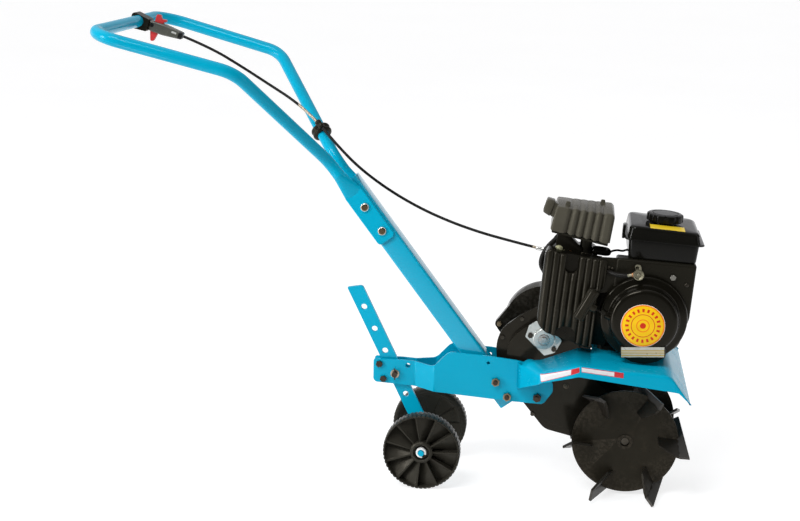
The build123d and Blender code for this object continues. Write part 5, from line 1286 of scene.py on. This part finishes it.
# ------------------------------------------------------------------ stickers, all plain
def flat_mat(name, color, rough=0.35, vary=0.05):
    return surface(name, color, rough=rough, vary=vary, grain=900.0, grain_h=0.00001, cloud=40.0, rough_var=0.05, spec=0.4)


def badge_mat():
    """Round sticker: pale rim, plain rings and evenly spaced bars."""
    mt, nt, bs = new_mat("badge_print")
    c0 = L(15.0, -139.0, 386.4)
    rad, dx, dz, sx = axis_radius(nt, c0)
    ang = math_node(nt, "ARCTAN2", dz, dx)
    col = None
    yellow, red, orange, white = (0.90, 0.54, 0.006), (0.62, 0.030, 0.008), (0.86, 0.20, 0.006), (0.86, 0.83, 0.74)
    n = noise(nt, 60.0, 3.0, 0.5)
    base = ramp(nt, n, [(0.3, sc(yellow, 0.94)), (0.7, sc(yellow, 1.05))])

    def band(r0, r1, c, cur):
        f = math_node(nt, "MULTIPLY", maprange(nt, rad, r0 - 0.00015, r0 + 0.00015, 0.0, 1.0), maprange(nt, rad, r1 - 0.00015, r1 + 0.00015, 1.0, 0.0))
        return mix(nt, f, cur, c)
    col = band(0.0434, 0.060, white, base)
    col = band(0.0408, 0.0434, orange, col)
    col = band(0.0225, 0.0240, red, col)
    # straight bars, evenly spaced all the way round
    t = math_node(nt, "COSINE", math_node(nt, "MULTIPLY", ang, 20.0))
    tick = maprange(nt, t, 0.05, 0.30, 0.0, 1.0)
    zone = math_node(nt, "MULTIPLY", maprange(nt, rad, 0.0282, 0.0288, 0.0, 1.0), maprange(nt, rad, 0.0352, 0.0358, 1.0, 0.0))
    col = mix(nt, math_node(nt, "MULTIPLY", tick, zone), col, red)
    col = band(0.0, 0.0060, red, col)
    col = band(0.0115, 0.0135, orange, col)
    nt.links.new(col, bs.inputs["Base Color"])
    nt.links.new(maprange(nt, noise(nt, 200.0), 0.3, 0.7, 0.26, 0.36), bs.inputs["Roughness"])
    nt.links.new(bump(nt, noise(nt, 900.0), 0.4, 0.00001), bs.inputs["Normal"])
    bs.inputs["Specular IOR Level"].default_value = 0.2
    return mt


bm = bmesh.new()
turned(bm, L(15.0, -138.9, 386.4), (0, -1, 0), [(0.0442, 0.0), (0.0442, 0.0004), (0.0438, 0.0006), (0.0225, 0.0006), (0.0005, 0.0006)], 96)
piece(from_bm("badge_disc", bm, 40.0), CHX, "pale_plastic", badge_mat())


def plate_mat():
    mt, nt, bs = new_mat("plate_print")
    sx = nt.nodes.new("ShaderNodeSeparateXYZ")
    nt.links.new(coords(nt), sx.inputs[0])
    x0, x1 = L(-26, 0, 0)[0], L(60, 0, 0)[0]
    zrel = math_node(nt, "SUBTRACT", sx.outputs[2], math_node(nt, "MULTIPLY", math_node(nt, "SUBTRACT", sx.outputs[0], x0), 0.0345))
    base = ramp(nt, noise(nt, 80.0), [(0.3, (0.50, 0.49, 0.43)), (0.7, (0.58, 0.57, 0.51))])
    gold = (0.50, 0.34, 0.07)
    z0 = 0.317

    def bar(a, b, cur, c):
        f = math_node(nt, "MULTIPLY", maprange(nt, zrel, z0 + a - 0.0002, z0 + a + 0.0002, 0.0, 1.0), maprange(nt, zrel, z0 + b - 0.0002, z0 + b + 0.0002, 1.0, 0.0))
        return mix(nt, f, cur, c)
    col = bar(0.0045, 0.0070, base, gold)
    col = bar(0.0098, 0.0168, col, gold)
    col = bar(0.0122, 0.0144, col, (0.60, 0.58, 0.50))
    nt.links.new(col, bs.inputs["Base Color"])
    nt.links.new(maprange(nt, noise(nt, 150.0), 0.3, 0.7, 0.25, 0.38), bs.inputs["Roughness"])
    bs.inputs["Metallic"].default_value = 0.35
    return mt


def patch(name, quad, y, th, mat, slot, nx=24, nz=2, ymap=None, body=CHX, place=L):
    """Thin sticker over four corners (left-bottom, right-bottom, right-top, left-top), lying on the surface ymap."""
    bm = bmesh.new()
    fr, bk = [], []
    for i in range(nx + 1):
        a = i / nx
        rf, rb = [], []
        for j in range(nz + 1):
            b = j / nz
            x = (quad[0][0] * (1 - a) + quad[1][0] * a) * (1 - b) + (quad[3][0] * (1 - a) + quad[2][0] * a) * b
            z = (quad[0][1] * (1 - a) + quad[1][1] * a) * (1 - b) + (quad[3][1] * (1 - a) + quad[2][1] * a) * b
            yy = ymap(x, z) if ymap else y
            rf.append(bm.verts.new(place(x, yy - th, z)))
            rb.append(bm.verts.new(place(x, yy + 0.15, z)))
        fr.append(rf)
        bk.append(rb)
    for i in range(nx):
        for j in range(nz):
            bm.faces.new((fr[i][j], fr[i + 1][j], fr[i + 1][j + 1], fr[i][j + 1]))
            bm.faces.new((bk[i][j + 1], bk[i + 1][j + 1], bk[i + 1][j], bk[i][j]))
        bm.faces.new((fr[i + 1][0], fr[i][0], bk[i][0], bk[i + 1][0]))
        bm.faces.new((fr[i][nz], fr[i + 1][nz], bk[i + 1][nz], bk[i][nz]))
    for j in range(nz):
        bm.faces.new((fr[0][j], fr[0][j + 1], bk[0][j + 1], bk[0][j]))
        bm.faces.new((fr[nx][j + 1], fr[nx][j], bk[nx][j], bk[nx][j + 1]))
    o = from_bm(name, bm, 40.0)
    return piece(o, body, slot, mat)


# moulded pad on the foot of the starter cover, which carries the plain plate
slab("starter_pad", [(-28.4, 343, 3), (-28.4, 322, 5), (-8, 310.6, 30), (17.6, 306.0, 30), (43, 310.6, 30), (62.8, 322, 5), (62.4, 346, 3)], -138.75, -104.0, CHX, "black_plastic", "starter", 1.0, L)
patch("lower_plate", [(-26, 319), (60, 322), (59.4, 343), (-26.6, 340)], -138.85, 0.45, plate_mat(), "pale_plastic", 8, 2)


def strip_mat(name, x_red, quad):
    """White strip with a red end, a red border and thin grey rules."""
    mt, nt, bs = new_mat(name)
    sx = nt.nodes.new("ShaderNodeSeparateXYZ")
    nt.links.new(coords(nt), sx.inputs[0])
    x = sx.outputs[0]
    white = ramp(nt, noise(nt, 50.0), [(0.3, (0.66, 0.66, 0.68)), (0.7, (0.74, 0.74, 0.75))])

    def line(p, q):
        return maprange(nt, x, L(p[0], 0, 0)[0], L(q[0], 0, 0)[0], p[1] / 1000.0, q[1] / 1000.0)
    # heights above the lower edge and below the upper one
    v = math_node(nt, "SUBTRACT", sx.outputs[2], line(quad[0], quad[1]))
    w = math_node(nt, "SUBTRACT", line(quad[3], quad[2]), sx.outputs[2])
    rules = math_node(nt, "SINE", math_node(nt, "MULTIPLY", v, 2 * math.pi / 0.0024))
    inside = math_node(nt, "MULTIPLY", maprange(nt, v, 0.0020, 0.0022, 0.0, 1.0), maprange(nt, w, 0.0026, 0.0028, 0.0, 1.0))
    lines = math_node(nt, "MULTIPLY", maprange(nt, rules, 0.2, 0.6, 0.0, 0.35), inside)
    col = mix(nt, lines, white, (0.30, 0.30, 0.32))
    red = maprange(nt, x, L(x_red - 0.3, 0, 0)[0], L(x_red + 0.3, 0, 0)[0], 0.0, 1.0)
    col = mix(nt, red, col, (0.52, 0.018, 0.024))
    edge = math_node(nt, "MAXIMUM", maprange(nt, v, 0.0009, 0.0012, 1.0, 0.0), maprange(nt, w, 0.0008, 0.0011, 1.0, 0.0))
    col = mix(nt, edge, col, (0.52, 0.018, 0.024))
    nt.links.new(col, bs.inputs["Base Color"])
    nt.links.new(maprange(nt, noise(nt, 200.0), 0.3, 0.7, 0.25, 0.36), bs.inputs["Roughness"])
    bs.inputs["Specular IOR Level"].default_value = 0.4
    return mt


_pl = rounded([(-239, 38.2), (-188, 164, 26), (-120, 193, 40), (140, 194)], 8, False)


def deck_wall(x, z):
    """Front wall of the deck, following its rounded top edge."""
    px, py = [p[0] for p in _pl], [p[1] for p in _pl]
    top = float(np.interp(x, [p[0] for p in DECK_UP], [p[1] for p in DECK_UP]))
    slope = float(np.interp(x + 0.5, px, py) - np.interp(x - 0.5, px, py))
    rr = deck_bend(x)
    h = min(max(0.0, z - (top - rr)), rr * 0.997)
    o = rr - math.sqrt(rr * rr - h * h)
    return -float(np.interp(x, px, py)) + o * math.hypot(1.0, slope)


STRIP_A = [(-186, 268), (-109, 301), (-110, 310.8), (-188, 282.6)]
STRIP_B = [(-105, 301.5), (-22, 292.0), (-22, 302.6), (-105, 311.0)]
patch("deck_strip_a", STRIP_A, 0, 0.4, strip_mat("strip_print_a", -126, STRIP_A), "pale_plastic", 48, 10, deck_wall)
patch("deck_strip_b", STRIP_B, 0, 0.4, strip_mat("strip_print_b", -40.5, STRIP_B), "pale_plastic", 48, 10, deck_wall)


# ------------------------------------------------------------------ small roundings on the CAD pieces
for n, w in (("side_plate_right", 0.0009), ("side_plate_left", 0.0009), ("depth_bar", 0.0010), ("bearing_flange", 0.0007), ("frame_bolts", 0.0005),
             ("tine_disc_right", 0.0006), ("tine_disc_left", 0.0006), ("tine_blades", 0.0005), ("chain_case_right", 0.0010), ("chain_case_left", 0.0010),
             ("belt_cover", 0.0008), ("fan_housing", 0.0008), ("control_clamp", 0.0012), ("control_body", 0.0008), ("throttle_trigger", 0.0010), ("stop_switch", 0.0010),
             ("carburettor", 0.0008), ("muffler", 0.0010), ("fuel_cock", 0.0004), ("tine_bolts", 0.0005)):
    soften(n, w)


# ------------------------------------------------------------------ floor, light and view
# Painted light: the floor glows by emission, which lifts the shadows under the machine and lights it from below;
# towards the camera side its glow and colour are dimmed so that faces turned to the camera reflect a dark floor.
def glowing_floor_mat():
    mt, nt, bs = new_mat("floor_pale")
    col = ramp(nt, noise(nt, 0.7, 3.0, 0.5), [(0.3, (0.36, 0.36, 0.362)), (0.7, (0.38, 0.38, 0.382))])
    sx = nt.nodes.new("ShaderNodeSeparateXYZ")
    geo = nt.nodes.new("ShaderNodeNewGeometry")
    nt.links.new(geo.outputs["Position"], sx.inputs[0])
    f = maprange(nt, sx.outputs[1], -2.6, -0.65, 0.0, 1.0)
    nt.links.new(mix(nt, f, (0.16, 0.16, 0.16), col), bs.inputs["Base Color"])
    bs.inputs["Emission Color"].default_value = (1.0, 1.0, 1.0, 1.0)
    nt.links.new(maprange(nt, f, 0.0, 1.0, 0.16, 0.76), bs.inputs["Emission Strength"])
    nt.links.new(maprange(nt, noise(nt, 3.0), 0.3, 0.7, 0.72, 0.82), bs.inputs["Roughness"])
    bs.inputs["Specular IOR Level"].default_value = 0.1
    return mt


bm = bmesh.new()
bmesh.ops.create_grid(bm, x_segments=16, y_segments=16, size=40.0)
fm = bpy.data.meshes.new("floor")
bm.to_mesh(fm)
bm.free()
floor = link("floor", fm)
floor.location = (0.0, 12.0, -0.0002)
fm.materials.append(glowing_floor_mat())

world = bpy.data.worlds.new("studio")
scene.world = world
world.use_nodes = True
wt = world.node_tree
wt.nodes.clear()
wo = wt.nodes.new("ShaderNodeOutputWorld")
bg = wt.nodes.new("ShaderNodeBackground")
wt.links.new(bg.outputs[0], wo.inputs[0])
tc = wt.nodes.new("ShaderNodeTexCoord")
sx = wt.nodes.new("ShaderNodeSeparateXYZ")
wt.links.new(tc.outputs["Generated"], sx.inputs[0])
# bright overhead and behind, dim on the camera side and to the right
up_f = ramp(wt, sx.outputs[2], [(0.0, (0.85, 0.85, 0.85)), (0.09, (0.80, 0.80, 0.80)), (0.20, (0.33, 0.33, 0.33)), (0.42, (0.42, 0.42, 0.42)), (0.80, (0.80, 0.80, 0.80))])
back_f = maprange(wt, sx.outputs[1], -0.75, 0.35, 0.14, 1.0)
side_f = maprange(wt, sx.outputs[0], 0.05, 0.75, 1.0, 0.35)
lum = math_node(wt, "MULTIPLY", math_node(wt, "MULTIPLY", up_f, back_f), side_f)
wc = ramp(wt, lum, [(0.0, (0.0, 0.0, 0.0)), (1.0, (1.0, 1.0, 1.02))])
wt.links.new(wc, bg.inputs[0])
bg.inputs[1].default_value = 1.45


def area(name, loc, target, size, power, size_y=None):
    ld = bpy.data.lights.new(name, "AREA")
    ld.energy = power
    ld.shape = "RECTANGLE"
    ld.size = size
    ld.size_y = size_y or size
    o = bpy.data.objects.new(name, ld)
    scene.collection.objects.link(o)
    o.location = loc
    dv = Vector(target) - Vector(loc)
    o.rotation_euler = dv.to_track_quat("-Z", "Y").to_euler()
    return o


area("high_key", (-0.9, -2.3, 3.6), (0.0, 0.0, 0.4), 1.8, 90.0, 1.4)
area("left_key", (-3.4, -1.9, 1.7), (0.0, 0.0, 0.4), 0.8, 85.0, 2.0)
area("left_low", (-0.80, -0.66, 0.24), (0.35, 0.0, 0.32), 0.30, 2.1, 0.45)
area("right_strip", (2.9, -0.7, 1.5), (0.3, 0.0, 0.35), 0.35, 8.0, 2.2)

scene.view_settings.view_transform = "Standard"
scene.view_settings.look = "None"
scene.view_settings.exposure = 0.0
scene.view_settings.gamma = 1.0
